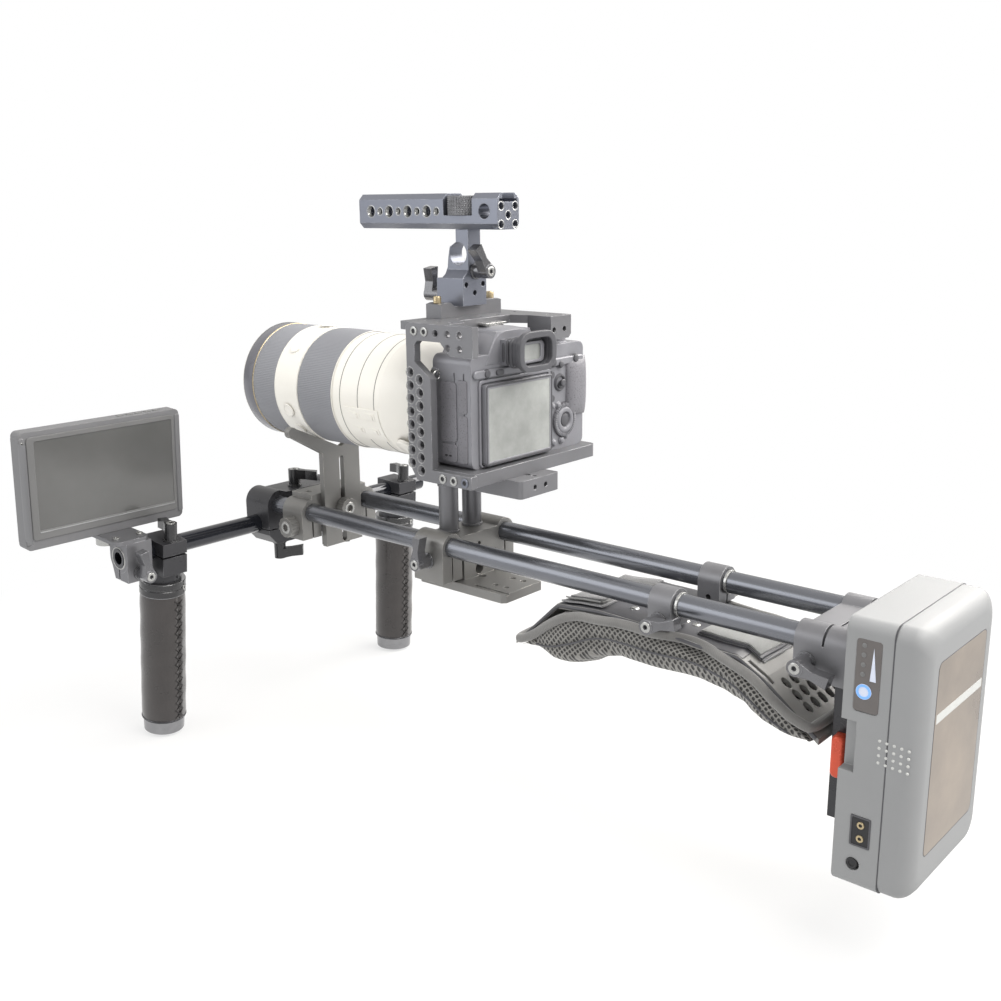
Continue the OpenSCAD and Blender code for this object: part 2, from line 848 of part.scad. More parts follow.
module monitor_shell() {
    color([0.45, 0.45, 0.43]) at_monitor() difference() {
        union() {
            translate([-monitor_w / 2, monitor_face + monitor_t, monitor_base]) rotate([90, 0, 0])
                linear_extrude(monitor_t) rounded_rect(monitor_w, monitor_h, monitor_r);
            translate([-monitor_back_w / 2, monitor_face + monitor_t + monitor_back_t,
                monitor_base + (monitor_h - monitor_back_h) / 2]) rotate([90, 0, 0])
                linear_extrude(monitor_back_t + over) bevelled_rect(monitor_back_w, monitor_back_h,
                    monitor_r);
        }
        translate([-monitor_screen_w / 2, monitor_face - over,
            monitor_base + (monitor_h - monitor_screen_h) / 2
            + monitor_screen_rise]) cube([monitor_screen_w, over + monitor_screen_t, monitor_screen_h]);
        bar_z(monitor_base - over, monitor_base + thumbwheel_screw_l + over, 0, monitor_screw_front,
            thumbwheel_screw_d + 2 * fit);
        for (i = [-monitor_vents:monitor_vents]) translate([i * 2 * monitor_r,
            monitor_face + monitor_t + monitor_back_t,
            monitor_base + monitor_h / 2]) cube([monitor_r / 2, monitor_r, monitor_h / 3], center = true);
    }
}
module monitor_screen() {
    color([0.3, 0.3, 0.3]) at_monitor() translate([-monitor_screen_w / 2 + fit, monitor_face,
        monitor_base + (monitor_h - monitor_screen_h) / 2 + monitor_screen_rise + fit])
        cube([monitor_screen_w - 2 * fit, monitor_screen_t, monitor_screen_h - 2 * fit]);
}

module support_bores() {
    at_main_rods() bar_y(support_y - over, support_y + support_l + over, 0, 0, 2 * bore_r);
}
module at_support_rod_knob() {
    translate([-rod_x - support_lobe_r, support_y + support_l / 2, rod_h - lever_reach - screw_wall])
        rotate([0, -90, 0]) children();
}
module at_support_height_knob() {
    translate([0, support_y - cradle_t - seat, rod_h]) rotate([90, 0, 0]) children();
}

module lens_support_bridge() {
    outer = rod_x + support_lobe_r;
    color([0.45, 0.44, 0.43]) difference() {
        along_y(support_y, support_y + support_l) difference() {
            union() {
                for (side = [-1, 1]) {
                    translate([side * rod_x, rod_h]) circle(support_lobe_r);
                    translate([side * (rod_x + support_lobe_r - support_leg_w) - support_leg_w,
                        rod_h - support_leg_drop]) square([2 * support_leg_w, support_leg_drop]);
                }
                translate([-rod_x, rod_h - support_web_drop])
                    square([rod_pitch, support_web_drop + support_web_rise]);
            }
            for (side = [-1, 1]) translate([side * rod_x - slit / 2, rod_h - support_leg_drop - over])
                square([slit, support_leg_drop]);
            translate([-outer - support_leg_w, -over]) square([support_leg_w, rod_h + 2 * support_lobe_r]);
            translate([outer, -over]) square([support_leg_w, rod_h + 2 * support_lobe_r]);
        }
        support_bores();
        at_support_rod_knob() lever_hole(2 * support_leg_w);
        at_support_height_knob() lever_hole(cradle_t + support_knob_screw_l);
        for (side = [-1, 1]) translate([side * (rod_x - support_knob_h), support_y + support_l / 2,
            rod_h + support_web_rise]) translate([0, 0, -over]) cylinder(h = 2 * over, d = lever_hub_d / 2);
    }
}
module lens_support_rod_knob() {
    at_support_rod_knob() hand_knob(support_knob_d, support_knob_h, support_leg_w + screw_wall,
        support_knob_ribs);
}
module lens_support_height_knob() {
    at_support_height_knob() hand_knob(support_knob_d, support_knob_h, cradle_t + support_knob_screw_l / 2,
        support_knob_ribs);
}

module lens_support_cradle() {
    rise = cradle_arm * tan(cradle_rise);
    edge = cradle_w / 2;
    color([0.45, 0.44, 0.43]) difference() {
        along_y(support_y - cradle_t - seat / 2, support_y - seat / 2) {
            difference() {
                polygon([[-edge, cradle_bottom], [edge, cradle_bottom], [edge,
                    cradle_crotch + edge * tan(cradle_rise)
                    - cradle_arm_w], [0, cradle_crotch], [-edge, cradle_crotch + edge * tan(cradle_rise)
                    - cradle_arm_w]]);
                translate([0, cradle_slot_low]) for (z = [cradle_slot_w / 2, cradle_slot_high])
                    translate([0, z]) circle(d = cradle_slot_w);
                translate([-cradle_slot_w / 2, cradle_slot_low + cradle_slot_w / 2])
                    square([cradle_slot_w, cradle_slot_high - cradle_slot_w / 2]);
            }
            for (side = [-1, 1]) polygon([[0, cradle_crotch], [side * cradle_arm, cradle_crotch + rise],
                [side * cradle_arm, cradle_crotch + rise - cradle_arm_w], [side * edge / 2,
                cradle_crotch - cradle_arm_w]]);
        }
    }
    color([0.3, 0.3, 0.3]) for (side = [-1, 1]) translate([side * cradle_arm, 0, cradle_crotch + rise])
        bar_y(support_y - cradle_t - seat / 2, support_y - seat / 2, 0, -cradle_arm_w / 2, cradle_arm_w);
}

// The lens is drawn along +Z from its flange and laid forward
module at_lens() {
    translate([0, lens_flange_y, lens_z]) rotate([-90, 0, 0]) children();
}

module lens_barrel() {
    zoom_z = zoom_y - lens_flange_y;
    focus_z = focus_y - lens_flange_y;
    rim_z = lens_l - lens_rim_l;
    color("whitesmoke") at_lens() {
        rotate_extrude($fn = fine_fn) polygon([[0, 0], [lens_mount_r, 0], [lens_mount_r, lens_wall],
            [lens_mount_r + lens_wall, lens_tail_l / 3], [lens_r - over, lens_tail_l], [lens_r - over,
                zoom_z],
            [lens_core_r, zoom_z], [lens_core_r, zoom_z + zoom_l], [lens_r, zoom_z + zoom_l],
            [lens_r, focus_z], [lens_core_r, focus_z], [lens_core_r, rim_z], [lens_r, rim_z],
            [lens_r, lens_l], [lens_r - lens_wall, lens_l], [lens_core_r - lens_wall,
                lens_l - lens_hood_depth],
            [0, lens_l - lens_hood_depth]]);
        for (turn = [0:90:270]) rotate([0, 0, turn + lens_button_turn]) translate([lens_r - over, 0,
            zoom_z + zoom_l + lens_band_l / 2]) rotate([0, 90, 0])
            cylinder(h = lens_button_h + over, d = lens_button_d);
    }
}

// A ribbed rubber ring round the lens
module lens_ring(y0, l) {
    color("darkgray") translate([0, y0 + seat, lens_z]) rotate([-90, 0, 0]) difference() {
        cylinder(h = l - 2 * seat, r = lens_r - seat, $fn = fine_fn);
        translate([0, 0, -over]) cylinder(h = l + over, r = lens_core_r + fit, $fn = fine_fn);
        for (i = [0:lens_ribs - 1]) rotate([0, 0, i * 360 / lens_ribs]) translate([lens_r - seat, 0, over])
            translate([0, 0, l / 2 - over]) cube([2 * button_depth, lens_ring_t / 2, l - lens_ring_t],
                center = true);
    }
}
module focus_ring() { lens_ring(focus_y, focus_l); }
module zoom_ring() { lens_ring(zoom_y, zoom_l); }
module lens_glass() {
    radius = lens_core_r - lens_wall - fit;
    color("darkslateblue") at_lens() translate([0, 0, lens_l - lens_hood_depth])
        rotate_extrude($fn = fine_fn)
        polygon(concat([[0, 0], [radius, 0]], [for (share = glass_shares)
            [radius * share, lens_wall * (1 - glass_fall_share * pow(share, 2))]]));
}

module camera_body() {
    color([0.58, 0.58, 0.6]) difference() {
        union() {
            translate([-camera_left, camera_body_front, camera_z]) rotate([90, 0, 0])
                linear_extrude(camera_depth) rounded_rect(camera_w, camera_h, camera_r);
            along_y(camera_back_y, camera_body_front + camera_r) polygon([
                [-hump_w / 2, camera_top - camera_r], [hump_w / 2, camera_top - camera_r],
                [hump_top_w / 2, camera_top + hump_h], [-hump_top_w / 2, camera_top + hump_h]]);
            translate([camera_right - grip_bulge_w, camera_back_y + camera_r, camera_z])
                linear_extrude(grip_bulge_h)
                rounded_rect(grip_bulge_w, camera_depth + grip_bulge_d - camera_r, 2 * camera_r);
            bar_y(camera_body_front - over, lens_flange_y, 0, lens_z, 2 * (lens_mount_r + lens_wall));
            translate([-eyepiece_w / 2, camera_back_y - eyepiece_l, camera_z + eyecup_rise])
                cube([eyepiece_w, eyepiece_l + over, eyepiece_h]);
            bar_z(camera_top - over, camera_top + over, dial_x, -dial_back, dial_d + 2 * button_depth);
            bar_x(-camera_left - lug_out, -camera_left + over, 0, camera_top - 2 * camera_r, camera_r);
        }
        bar_z(camera_top - dial_h, camera_top + 2 * over, dial_x, -dial_back, button_d + 2 * fit);
        bar_y(camera_back_y - over, camera_back_y + wheel_t, wheel_x, camera_z + wheel_rise,
            wheel_d + 2 * soft_gap);
        at_shutter() translate([0, 0, -shutter_h]) cylinder(h = 2 * shutter_h, d = shutter_d + 2 * fit);
        for (place = camera_button_places) translate([place[0], camera_back_y, place[1]])
            rotate([-90, 0, 0]) translate([0, 0, -over]) cylinder(h = over + 2 * button_depth,
                d = button_d + 4 * fit);
        along_x(-camera_left - over, -camera_left + button_depth) {
            translate([camera_back_y + camera_r, camera_z + camera_r])
                square([button_depth, camera_h - 3 * camera_r]);
            translate([camera_back_y + 2 * camera_r + camera_r / 2, camera_z + camera_r])
                square([button_depth, camera_h - 3 * camera_r]);
        }
    }
}

module at_shutter() {
    translate([shutter_x, shutter_y, camera_z + grip_bulge_h]) children();
}
module camera_display() {
    color([0.35, 0.35, 0.36]) translate([-display_left, camera_back_y - seat, camera_z + display_rise])
        rotate([90, 0, 0]) difference() {
            linear_extrude(display_t) rounded_rect(display_w, display_h, display_r);
            translate([display_r, display_r, display_t - button_depth / 2])
                cube([display_w - 2 * display_r, display_h - 2 * display_r, over]);
        }
}
module camera_eyecup() {
    color([0.2, 0.2, 0.2]) translate([0, camera_back_y - eyepiece_l,
        camera_z + eyecup_rise + eyepiece_h / 2])
        rotate([90, 0, 0]) difference() {
            translate([-eyecup_w / 2, -eyecup_h / 2]) linear_extrude(eyecup_t)
                rounded_rect(eyecup_w, eyecup_h, 2 * camera_r - over);
            translate([-eyepiece_w / 2 + over, -eyepiece_h / 2 + over, 2 * over]) linear_extrude(eyecup_t)
                rounded_rect(eyepiece_w - 2 * over, eyepiece_h - 2 * over, camera_r);
        }
}
module camera_rear_wheel() {
    color([0.3, 0.3, 0.3]) translate([wheel_x, camera_back_y + wheel_t - seat, camera_z + wheel_rise])
        rotate([90, 0, 0]) difference() {
            cylinder(h = wheel_t + button_h, d = wheel_d);
            translate([0, 0, wheel_t + button_h - button_depth]) cylinder(h = wheel_t, d = wheel_d / 2);
            for (i = [1:dial_teeth]) rotate([0, 0, i * 360 / dial_teeth]) translate([wheel_d / 2, 0,
                wheel_t])
                cylinder(h = wheel_t, d = button_depth);
        }
}
module camera_mode_dial() {
    color([0.3, 0.3, 0.3]) translate([dial_x, -dial_back, camera_top + over + seat]) difference() {
        union() {
            cylinder(h = dial_h, d = dial_d);
            translate([0, 0, -dial_h]) cylinder(h = dial_h + over, d = button_d);
        }
        for (i = [1:dial_teeth]) rotate([0, 0, i * 360 / dial_teeth])
            translate([dial_d / 2 + button_depth / 4, 0, button_depth])
            cylinder(h = dial_h, d = button_depth);
    }
}
module camera_shutter_button() {
    color("silver") at_shutter() difference() {
        translate([0, 0, -shutter_h + over]) cylinder(h = shutter_h, d = shutter_d);
        translate([0, 0, 3 * shutter_d + over / 2]) sphere(r = 3 * shutter_d, $fn = fine_fn);
    }
}
module camera_buttons() {
    color([0.25, 0.25, 0.25]) for (place = camera_button_places)
        translate([place[0], camera_back_y + button_depth, place[1]]) rotate([90, 0, 0])
            cylinder(h = button_depth + button_h, d = button_d);
}

module cage_side_plate() {
    strip = cage_side_front - cage_strip_w;
    thin = cage_side_front - cage_thin_w;
    top = cage_z + cage_h;
    bar_z = top - cage_bar_h;
    arm_z = top - cage_arm_h;
    arm_y = cage_arm_l - cage_arm_back;
    color([0.48, 0.48, 0.5]) difference() {
        along_x(-cage_x, cage_t - cage_x) polygon([
            [cage_side_front, cage_z + cage_strip_w / 2], [cage_side_front, top - cage_window_r],
            [cage_side_front - cage_window_r, top], [-cage_arm_back, top], [-cage_arm_back, arm_z],
            [arm_y, arm_z], [arm_y + cage_arm_h - cage_bar_h, bar_z], [thin - cage_window_r, bar_z],
            [thin, bar_z - cage_window_r], [thin, bar_z - cage_thin_l],
            [strip, bar_z - cage_thin_l - cage_thin_fall], [strip, cage_z + cage_foot_h],
            [-cage_foot_back, cage_z + cage_foot_h], [-cage_foot_back, cage_z],
            [cage_side_front - cage_strip_w / 3, cage_z]]);
        for (column = [0, 1], i = [0:cage_holes - 1]) translate([-cage_x,
            cage_side_front - cage_hole_in - cage_hole_step * column,
            cage_z + cage_hole_rise - column * cage_pitch / 2 + i * cage_pitch]) {
            bar_x(-over, cage_t + over, 0, 0, cage_hole_d - 2 * button_depth);
            rotate([0, 90, 0]) translate([0, 0, -over]) cylinder(h = over + cage_hole_depth,
                d1 = cage_hole_cone + over, d2 = cage_hole_d - 2 * button_depth);
        }
        for (place = cage_block_holes)
            bar_x(-cage_x - over, cage_t - cage_x + over, place[0], place[1], cage_block_hole_d);
    }
}

module cage_base() {
    color([0.47, 0.47, 0.49]) difference() {
        union() {
            translate([cage_t - cage_x, -cage_back, cage_base_z]) linear_extrude(cage_base_t)
                rounded_rect(cage_base_w, cage_back + cage_foot_front, cage_t);
            span(cage_t - cage_x, 2 * cage_t - cage_x, -cage_back, cage_foot_front, cage_base_z, camera_z);
        }
        for (x = [-column_x, column_x], y = [-2 * column_x, 0])
            bar_z(cage_base_z - over, camera_z + over, x, y, cage_hole_d);
        for (x = [2 * column_x, 4 * column_x])
            translate([x, -column_x, cage_base_z - over]) linear_extrude(cage_base_t + 2 * over)
                rounded_rect(column_x, cage_hole_d, cage_hole_d / 2 - fit);
    }
}
module cage_top() {
    half = cage_top_w / 2;
    ear_z = cage_top_z + cage_t - cage_ear_h;
    color([0.48, 0.48, 0.5]) difference() {
        union() {
            translate([0, 0, cage_top_z]) linear_extrude(cage_top_t) polygon([
                [-half, cage_top_front], [-half, -cage_top_side_back], [-cage_top_cut_left,
                    -cage_top_side_back],
                [cage_top_fillet - cage_top_cut_left, -cage_top_back], [cage_top_cut_right, -cage_top_back],
                [half - cage_ear_w, -cage_top_side_back], [half - cage_ear_w, -cage_back], [half,
                    -cage_back],
                [half, cage_top_front]]);
            along_y(-cage_back, -cage_top_side_back) polygon([
                [half - cage_ear_w, cage_top_z + over], [half - cage_ear_w, ear_z], [half - cage_t / 2,
                    ear_z],
                [half, ear_z + cage_t / 2], [half, cage_top_z + over]]);
        }
        for (place = cage_top_holes)
            bar_z(cage_top_z - over, cage_top_z + cage_top_t + over, place[0], place[1], cage_small_d);
        for (x = [half - cage_ear_w + cage_small_d, half - cage_small_d * 2])
            bar_y(-cage_back - over, -cage_back + cage_foot_h, x, cage_top_z - cage_small_d, cage_small_d);
    }
}

module riser() {
    color([0.44, 0.44, 0.45]) {
        difference() {
            translate([riser_x - riser_w / 2, -riser_back, column_top]) linear_extrude(riser_t)
                rounded_rect(riser_w, riser_l, cage_t / 2);
            for (x = [-cage_hole_d, cage_hole_d])
                bar_y(-riser_back - over, -riser_back + 2 * cage_foot_h, riser_x + x,
                    column_top + riser_t / 2, cage_small_d);
            for (y = [-riser_back + cage_hole_d, -riser_back + 2 * cage_hole_d])
                bar_z(column_top + riser_t - over, column_top + riser_t + over, riser_x, y, cage_small_d);
        }
        for (side = [-1, 1]) bar_z(rod_h + web_rise, column_top, side * column_x, column_y, rod_d);
    }
}

module at_baseplate_lever() {
    translate([-rod_x - lobe_r, bridge_back + bridge_l / 2, rod_h - bridge_lever_drop])
        rotate([0, -90, 0]) children();
}

// The profile of a clamp that straddles both rods: lobes, web and slit legs
module straddle(lobe, rise, drop, leg, leg_w) {
    difference() {
        union() {
            for (side = [-1, 1]) {
                translate([side * rod_x, rod_h]) circle(lobe);
                translate([side * rod_x - lobe, rod_h - leg]) square([2 * lobe, leg]);
            }
            translate([-rod_x, rod_h - drop]) square([rod_pitch, drop + rise]);
        }
        for (side = [-1, 1]) {
            translate([side * rod_x, rod_h]) circle(bore_r);
            translate([side * rod_x - slit / 2, rod_h - leg - over]) square([slit, leg]);
        }
    }
}

module baseplate() {
    block = bridge_block_w / 2;
    color([0.45, 0.44, 0.42]) {
        difference() {
            along_y(bridge_back, bridge_back + bridge_l) {
                straddle(lobe_r, web_rise, web_drop, leg_drop, lobe_r);
                difference() {
                    translate([-block + cage_t / 2, tripod_plate_t])
                        square([2 * block - cage_t, rod_h - tripod_plate_t]);
                    translate([0, tripod_plate_t + web_drop / 2]) circle(web_drop / 2 - over);
                }
            }
            at_baseplate_lever() lever_hole(2 * lobe_r);
            bar_y(bridge_back - over, bridge_back + bridge_l / 2, 0, rod_h - web_drop / 3, cage_small_d);
        }
        difference() {
            translate([plate_x - tripod_plate_w / 2, -plate_back, 0]) linear_extrude(tripod_plate_t)
                bevelled_rect(tripod_plate_w, tripod_plate_l, plate_groove_w);
            bar_z(-over, tripod_plate_t + over, 0, 0, tripod_thread_d);
            for (x = [-block / 2, block / 2], y = [-plate_back + lobe_r, -plate_back + 2 * lobe_r])
                bar_z(tripod_plate_t - plate_groove_d, tripod_plate_t + over, x, y, plate_small_d);
            for (side = [-1, 1]) span(side * block - plate_groove_w / 2, side * block + plate_groove_w / 2,
                -plate_back - over, -lobe_r, tripod_plate_t - plate_groove_d, tripod_plate_t + over);
        }
    }
}
module baseplate_lever() {
    at_baseplate_lever() thumb_lever(rod_r + lobe_r / 2);
}

module handle_rail_clamp() {
    top = cage_top_z + cage_top_t;
    half = rail_w / 2;
    color([0.4, 0.4, 0.42]) difference() {
        union() {
            translate([rail_x - half, rail_y, top]) cube([rail_w, rail_l, post_base_z - top]);
            along_y(rail_y, rail_y + rail_l) polygon([[rail_x - half, post_base_z - over],
                [rail_x + half, post_base_z - over], [rail_x + half, post_base_z + rail_lip - over],
                [rail_x + half - cage_small_d, post_base_z + rail_lip],
                [rail_x + post_base_w / 2 + cage_small_d, post_base_z + rail_lip],
                [rail_x + post_base_w / 2 + seat, post_base_z],
                [rail_x - post_base_w / 2 - cage_t - seat, post_base_z],
                [rail_x - post_base_w / 2 - cage_t - cage_small_d, post_base_z + rail_lip],
                [rail_x - half + cage_small_d, post_base_z + rail_lip],
                [rail_x - half, post_base_z + rail_lip - over]]);
        }
        for (side = [-1, 1]) bar_z(post_base_z, post_base_z + cage_t + over,
            rail_x + side * (half - cage_t),
            rail_y + rail_l / 2, cage_small_d);
    }
}

module handle_post() {
    base_top = post_base_z + post_base_h;
    half = post_base_w / 2;
    color([0.42, 0.42, 0.46]) difference() {
        union() {
            span(-half, half, post_base_y, post_base_y + post_base_l, post_base_z, base_top);
            along_y(post_base_y, post_base_y + post_base_l - post_shoulder_h) polygon([
                [-half, base_top - over], [half, base_top - over], [half, base_top],
                [post_w / 2, base_top + post_shoulder_h], [-post_w / 2, base_top + post_shoulder_h],
                [-half, base_top]]);
            along_x(-post_w / 2, post_w / 2) polygon(concat(
                [[post_base_y, base_top - over], [post_base_y, handle_z],
                [post_front_profile[0][0], handle_z]], post_front_profile,
                [[post_base_y + post_base_l, base_top], [post_base_y + post_base_l, base_top - over]]));
        }
        bar_x(-post_w, post_w, post_hole_y, post_hole_z, post_hole_d);
        for (place = post_holes) bar_y(post_base_y - over, post_base_y + cage_foot_h, place[0],
            post_base_z + place[1], cage_small_d);
        at_handle_rear_lever() lever_hole(cage_t);
        at_handle_front_lever() lever_hole(cage_t);
    }
}
module at_handle_front_lever() {
    translate([handle_front_lever_x, post_base_y + post_base_l, post_base_z + handle_front_lever_rise])
        rotate([-90, 0, 0]) children();
}
module at_handle_rear_lever() {
    translate([handle_rear_lever_x, post_base_y, post_base_z + handle_rear_lever_rise]) rotate([90, 0,
        0]) children();
}
module handle_front_lever() {
    at_handle_front_lever() rotate([0, 0, handle_front_lever_turn]) thumb_lever(cage_t - over);
}
module handle_rear_lever() {
    at_handle_rear_lever() rotate([0, 0, handle_rear_lever_turn]) thumb_lever(cage_t - over);
}

module handle_grip() {
    side = handle_w / 2;
    mid = handle_z + handle_h / 2;
    top = handle_z + handle_h;
    floor_z = handle_z + handle_floor;
    color([0.51, 0.52, 0.57]) difference() {
        along_y(-handle_back, handle_l - handle_back) translate([-side, handle_z])
            bevelled_rect(handle_w, handle_h, handle_bevel);
        bar_x(-side - over, side + over, handle_rear_hole_y, mid, handle_rear_hole_d);
        for (i = [0:3]) {
            bar_x(-side - over, side + over, handle_hole_y + i * handle_pitch, mid, handle_big_d);
            bar_x(-side - over, side + over, handle_hole_y + (i - 0.5) * handle_pitch, mid, handle_small_d);
        }
        span(-shoe_w / 2, shoe_w / 2, -handle_back - over, shoe_l - handle_back,
            top - shoe_lip - shoe_h, top - shoe_lip);
        span(-shoe_slot_w / 2, shoe_slot_w / 2, -handle_back - over, shoe_l - handle_back,
            top - shoe_lip - over, top + over);
        for (x = [-handle_end_x, handle_end_x], rise = handle_end_rises)
            bar_y(-handle_back - over, handle_end_depth - handle_back, x, handle_z + rise, handle_end_d);
        bar_y(-handle_back - over, handle_end_depth - handle_back, 0, handle_z + handle_end_mid_rise,
            handle_end_d);
        span(-side - over, side + over, handle_slot_y, handle_slot_y + handle_slot_l, floor_z, top + over);
        bar_z(floor_z - handle_end_depth, floor_z + over, handle_wheel_x, handle_wheel_y,
            handle_small_d + 2 * fit);
    }
}
module handle_wheel() {
    floor_z = handle_z + handle_floor;
    color([0.45, 0.45, 0.47]) translate([handle_wheel_x, handle_wheel_y, floor_z]) {
        translate([0, 0, over - handle_end_depth]) cylinder(h = handle_end_depth, d = handle_small_d);
        difference() {
            translate([0, 0, seat]) cylinder(h = handle_wheel_h, d = handle_wheel_d);
            for (i = [1:handle_wheel_teeth]) rotate([0, 0, i * 360 / handle_wheel_teeth])
                translate([handle_wheel_d / 2 + handle_wheel_tooth / 4, 0, seat - over])
                    cylinder(h = handle_wheel_h + 2 * over, d = handle_wheel_tooth, $fn = socket_sides);
        }
    }
}

// Height of the pad's upper surface at any share of its length
function pad_top(share) = pad_z - pad_drop * lookup(share, pad_top_shares);

// A point above or below that surface
function pad_point(share, lift) = [pad_front - share * pad_l, pad_top(share) + lift];

module at_pad_lever() {
    translate([-rod_x - lobe_r, pad_clamp_y + pad_clamp_l / 2, rod_h - pad_lever_drop])
        rotate([0, -90, 0]) children();
}
module at_pad_knob() {
    translate([rod_x + lobe_r, pad_clamp_y + pad_clamp_l / 2, rod_h - pad_lever_drop])
        rotate([0, 90, 0]) children();
}
module pad_clamps() {
    foot = pad_z - soft_gap;
    color([0.46, 0.45, 0.43]) for (side = [-1, 1]) difference() {
        along_y(pad_clamp_y, pad_clamp_y + pad_clamp_l) difference() {
            union() {
                translate([side * rod_x, rod_h]) circle(lobe_r);
                translate([side * rod_x - lobe_r, foot - seat]) square([2 * lobe_r, rod_h - foot + seat]);
            }
            translate([side * rod_x, rod_h]) circle(bore_r);
            translate([side * rod_x - slit / 2, foot - over]) square([slit, rod_h - foot]);
        }
        at_pad_lever() lever_hole(2 * lobe_r);
        at_pad_knob() lever_hole(2 * lobe_r);
    }
}
module pad_lever() { at_pad_lever() rotate([0, 0, pad_lever_turn]) thumb_lever(lobe_r + rod_r / 2); }
module pad_knob() { at_pad_knob() hand_knob(pad_knob_d, pad_knob_h, lobe_r + rod_r / 2, pad_knob_ribs); }

// A sheet that follows the surface between two shares, between two lifts
module pad_sheet(start, end, low, high) {
    knots = concat([start], [for (s = pad_top_shares) if (s[0] > start && s[0] < end) s[0]], [end]);
    polygon(concat([for (share = knots) pad_point(share, high)],
        [for (i = [len(knots) - 1:-1:0]) pad_point(knots[i], low)]));
}

module pad_frame() {
    pad_rear = pad_front - pad_l;
    color([0.56, 0.55, 0.53]) difference() {
        along_x(-pad_w / 2, pad_w / 2) pad_sheet(0, 1, -pad_t, 0);
        for (row = [0:2], i = [0:5]) bar_z(-2 * pad_drop, pad_drop, (i - 2.5) * pad_hole_pitch,
            pad_rear + pad_hole_in + row * pad_hole_row, pad_hole_d);
        for (x = [-pad_w / 2 + pad_slot_in, pad_w / 2 - pad_slot_in]) span(x - pad_slot_w / 2,
            x + pad_slot_w / 2,
            pad_rear + pad_slot_back, pad_rear + pad_slot_back + pad_slot_l, -pad_drop, pad_drop);
    }
}

// A section of the cushion: crowned below, sides rounded, its top against the frame
function cushion_point(i, k) = let (
    share = i / cushion_stations,
    turn = 360 * k / cushion_round,
    swell = pow(sin(180 * min(max(share, cushion_stations / 1000), 1 - cushion_stations / 1000)),
        cushion_round_share),
    half = cushion_w / 2 * (1 - cushion_end_share * (1 - swell)),
    c = cos(turn), s = sin(turn),
    thick = cushion_t * lookup(share, cushion_shares),
    crown = min(cushion_crown, thick / 4) * (1 - pow(c, 2)),
    z = pad_top(share) - pad_t - soft_gap - thick / 2 + (s > 0 ? thick / 2 * pow(s, cushion_top_share)
        : -(thick / 2 - min(cushion_crown, thick / 4)) * pow(-s, cushion_side_share) - crown)
) [half * sign(c) * pow(abs(c), cushion_side_share), pad_front - cushion_crown
    - share * (pad_l - 2 * cushion_crown), z];

module pad_cushion() {
    n = cushion_round;
    m = cushion_stations;
    color([0.5, 0.49, 0.48]) polyhedron(
        points = [for (i = [0:m], k = [0:n - 1]) cushion_point(i, k)],
        faces = concat(
            [for (i = [0:m - 1], k = [0:n - 1]) [i * n + k, (i + 1) * n + k, (i + 1) * n + (k + 1) % n]],
            [for (i = [0:m - 1], k = [0:n - 1]) [i * n + k, (i + 1) * n + (k + 1) % n, i * n + (k + 1)
                % n]],
            [for (k = [1:n - 2]) [0, k, k + 1]],
            [for (k = [1:n - 2]) [m * n, m * n + k + 1, m * n + k]]));
}

module pad_straps() {
    color([0.67, 0.66, 0.65]) {
        along_x(-pad_w / 2, pad_w / 2) pad_sheet(front_strap_share,
            front_strap_share + front_strap_l / pad_l,
            soft_gap, soft_gap + strap_t);
        along_x(-rear_strap_w / 2, rear_strap_w / 2) pad_sheet(rear_strap_share,
            rear_strap_share + rear_strap_l / pad_l, soft_gap, soft_gap + strap_t);
    }
}

module at_battery_lever() {
    translate([-rod_x - lobe_r, battery_clamp_y + battery_clamp_l * 3 / 4,
        rod_h - lever_reach - screw_wall])
        rotate([0, -90, 0]) children();
}
module battery_clamp() {
    color([0.46, 0.45, 0.44]) difference() {
        along_y(battery_clamp_y, battery_clamp_y + battery_clamp_l)
            straddle(lobe_r, battery_web_rise, battery_web_drop, battery_leg_drop, lobe_r);
        translate([-rod_pitch, battery_clamp_y + battery_slot_back, rod_h]) cube([2 * rod_pitch, slit,
            2 * lobe_r]);
        at_battery_lever() lever_hole(2 * lobe_r);
        span(-battery_plate_w / 2 - fit, battery_plate_w / 2 + fit, battery_clamp_y - over,
            battery_plate_y + battery_plate_t + fit, -rod_h, battery_plate_top + fit);
    }
}
module battery_lever() { at_battery_lever() rotate([0, 0, battery_lever_turn])
    thumb_lever(lobe_r + rod_r / 2); }

// The wedge on the battery's face, and with a clearance its pocket in the plate
module v_lock(clear, lift) {
    half = vlock_w / 2 + clear;
    top = vlock_top_w / 2 + clear;
    translate([battery_x, battery_front_y - over, battery_z + vlock_rise]) translate([0,
        vlock_d + over + clear, 0])
        rotate([90, 0, 0]) linear_extrude(vlock_d + over + clear) polygon([[-half, -clear], [half, -clear],
            [top, vlock_h - fit], [top, vlock_h + lift], [-top, vlock_h + lift], [-top, vlock_h - fit]]);
}
module battery_plate() {
    color([0.15, 0.15, 0.16]) difference() {
        span(-battery_plate_w / 2, battery_plate_w / 2, battery_plate_y, battery_plate_y + battery_plate_t,
            battery_plate_top - battery_plate_h, battery_plate_top);
        v_lock(soft_gap, battery_plate_h);
        translate([-battery_plate_w / 2 - over, battery_plate_y + battery_plate_t / 4,
            battery_plate_top - battery_plate_h + latch_rise])
            cube([latch_l + over, battery_plate_t / 2 + over / 2, latch_h]);
    }
}
module battery_latch() {
    z = battery_plate_top - battery_plate_h + latch_rise;
    color("tomato") translate([-battery_plate_w / 2 - latch_w / 2,
        battery_plate_y + battery_plate_t / 4 + soft_gap,
        z + soft_gap]) cube([latch_l, battery_plate_t / 2 + over / 2 - 2 * soft_gap,
            latch_h - 2 * soft_gap]);
}

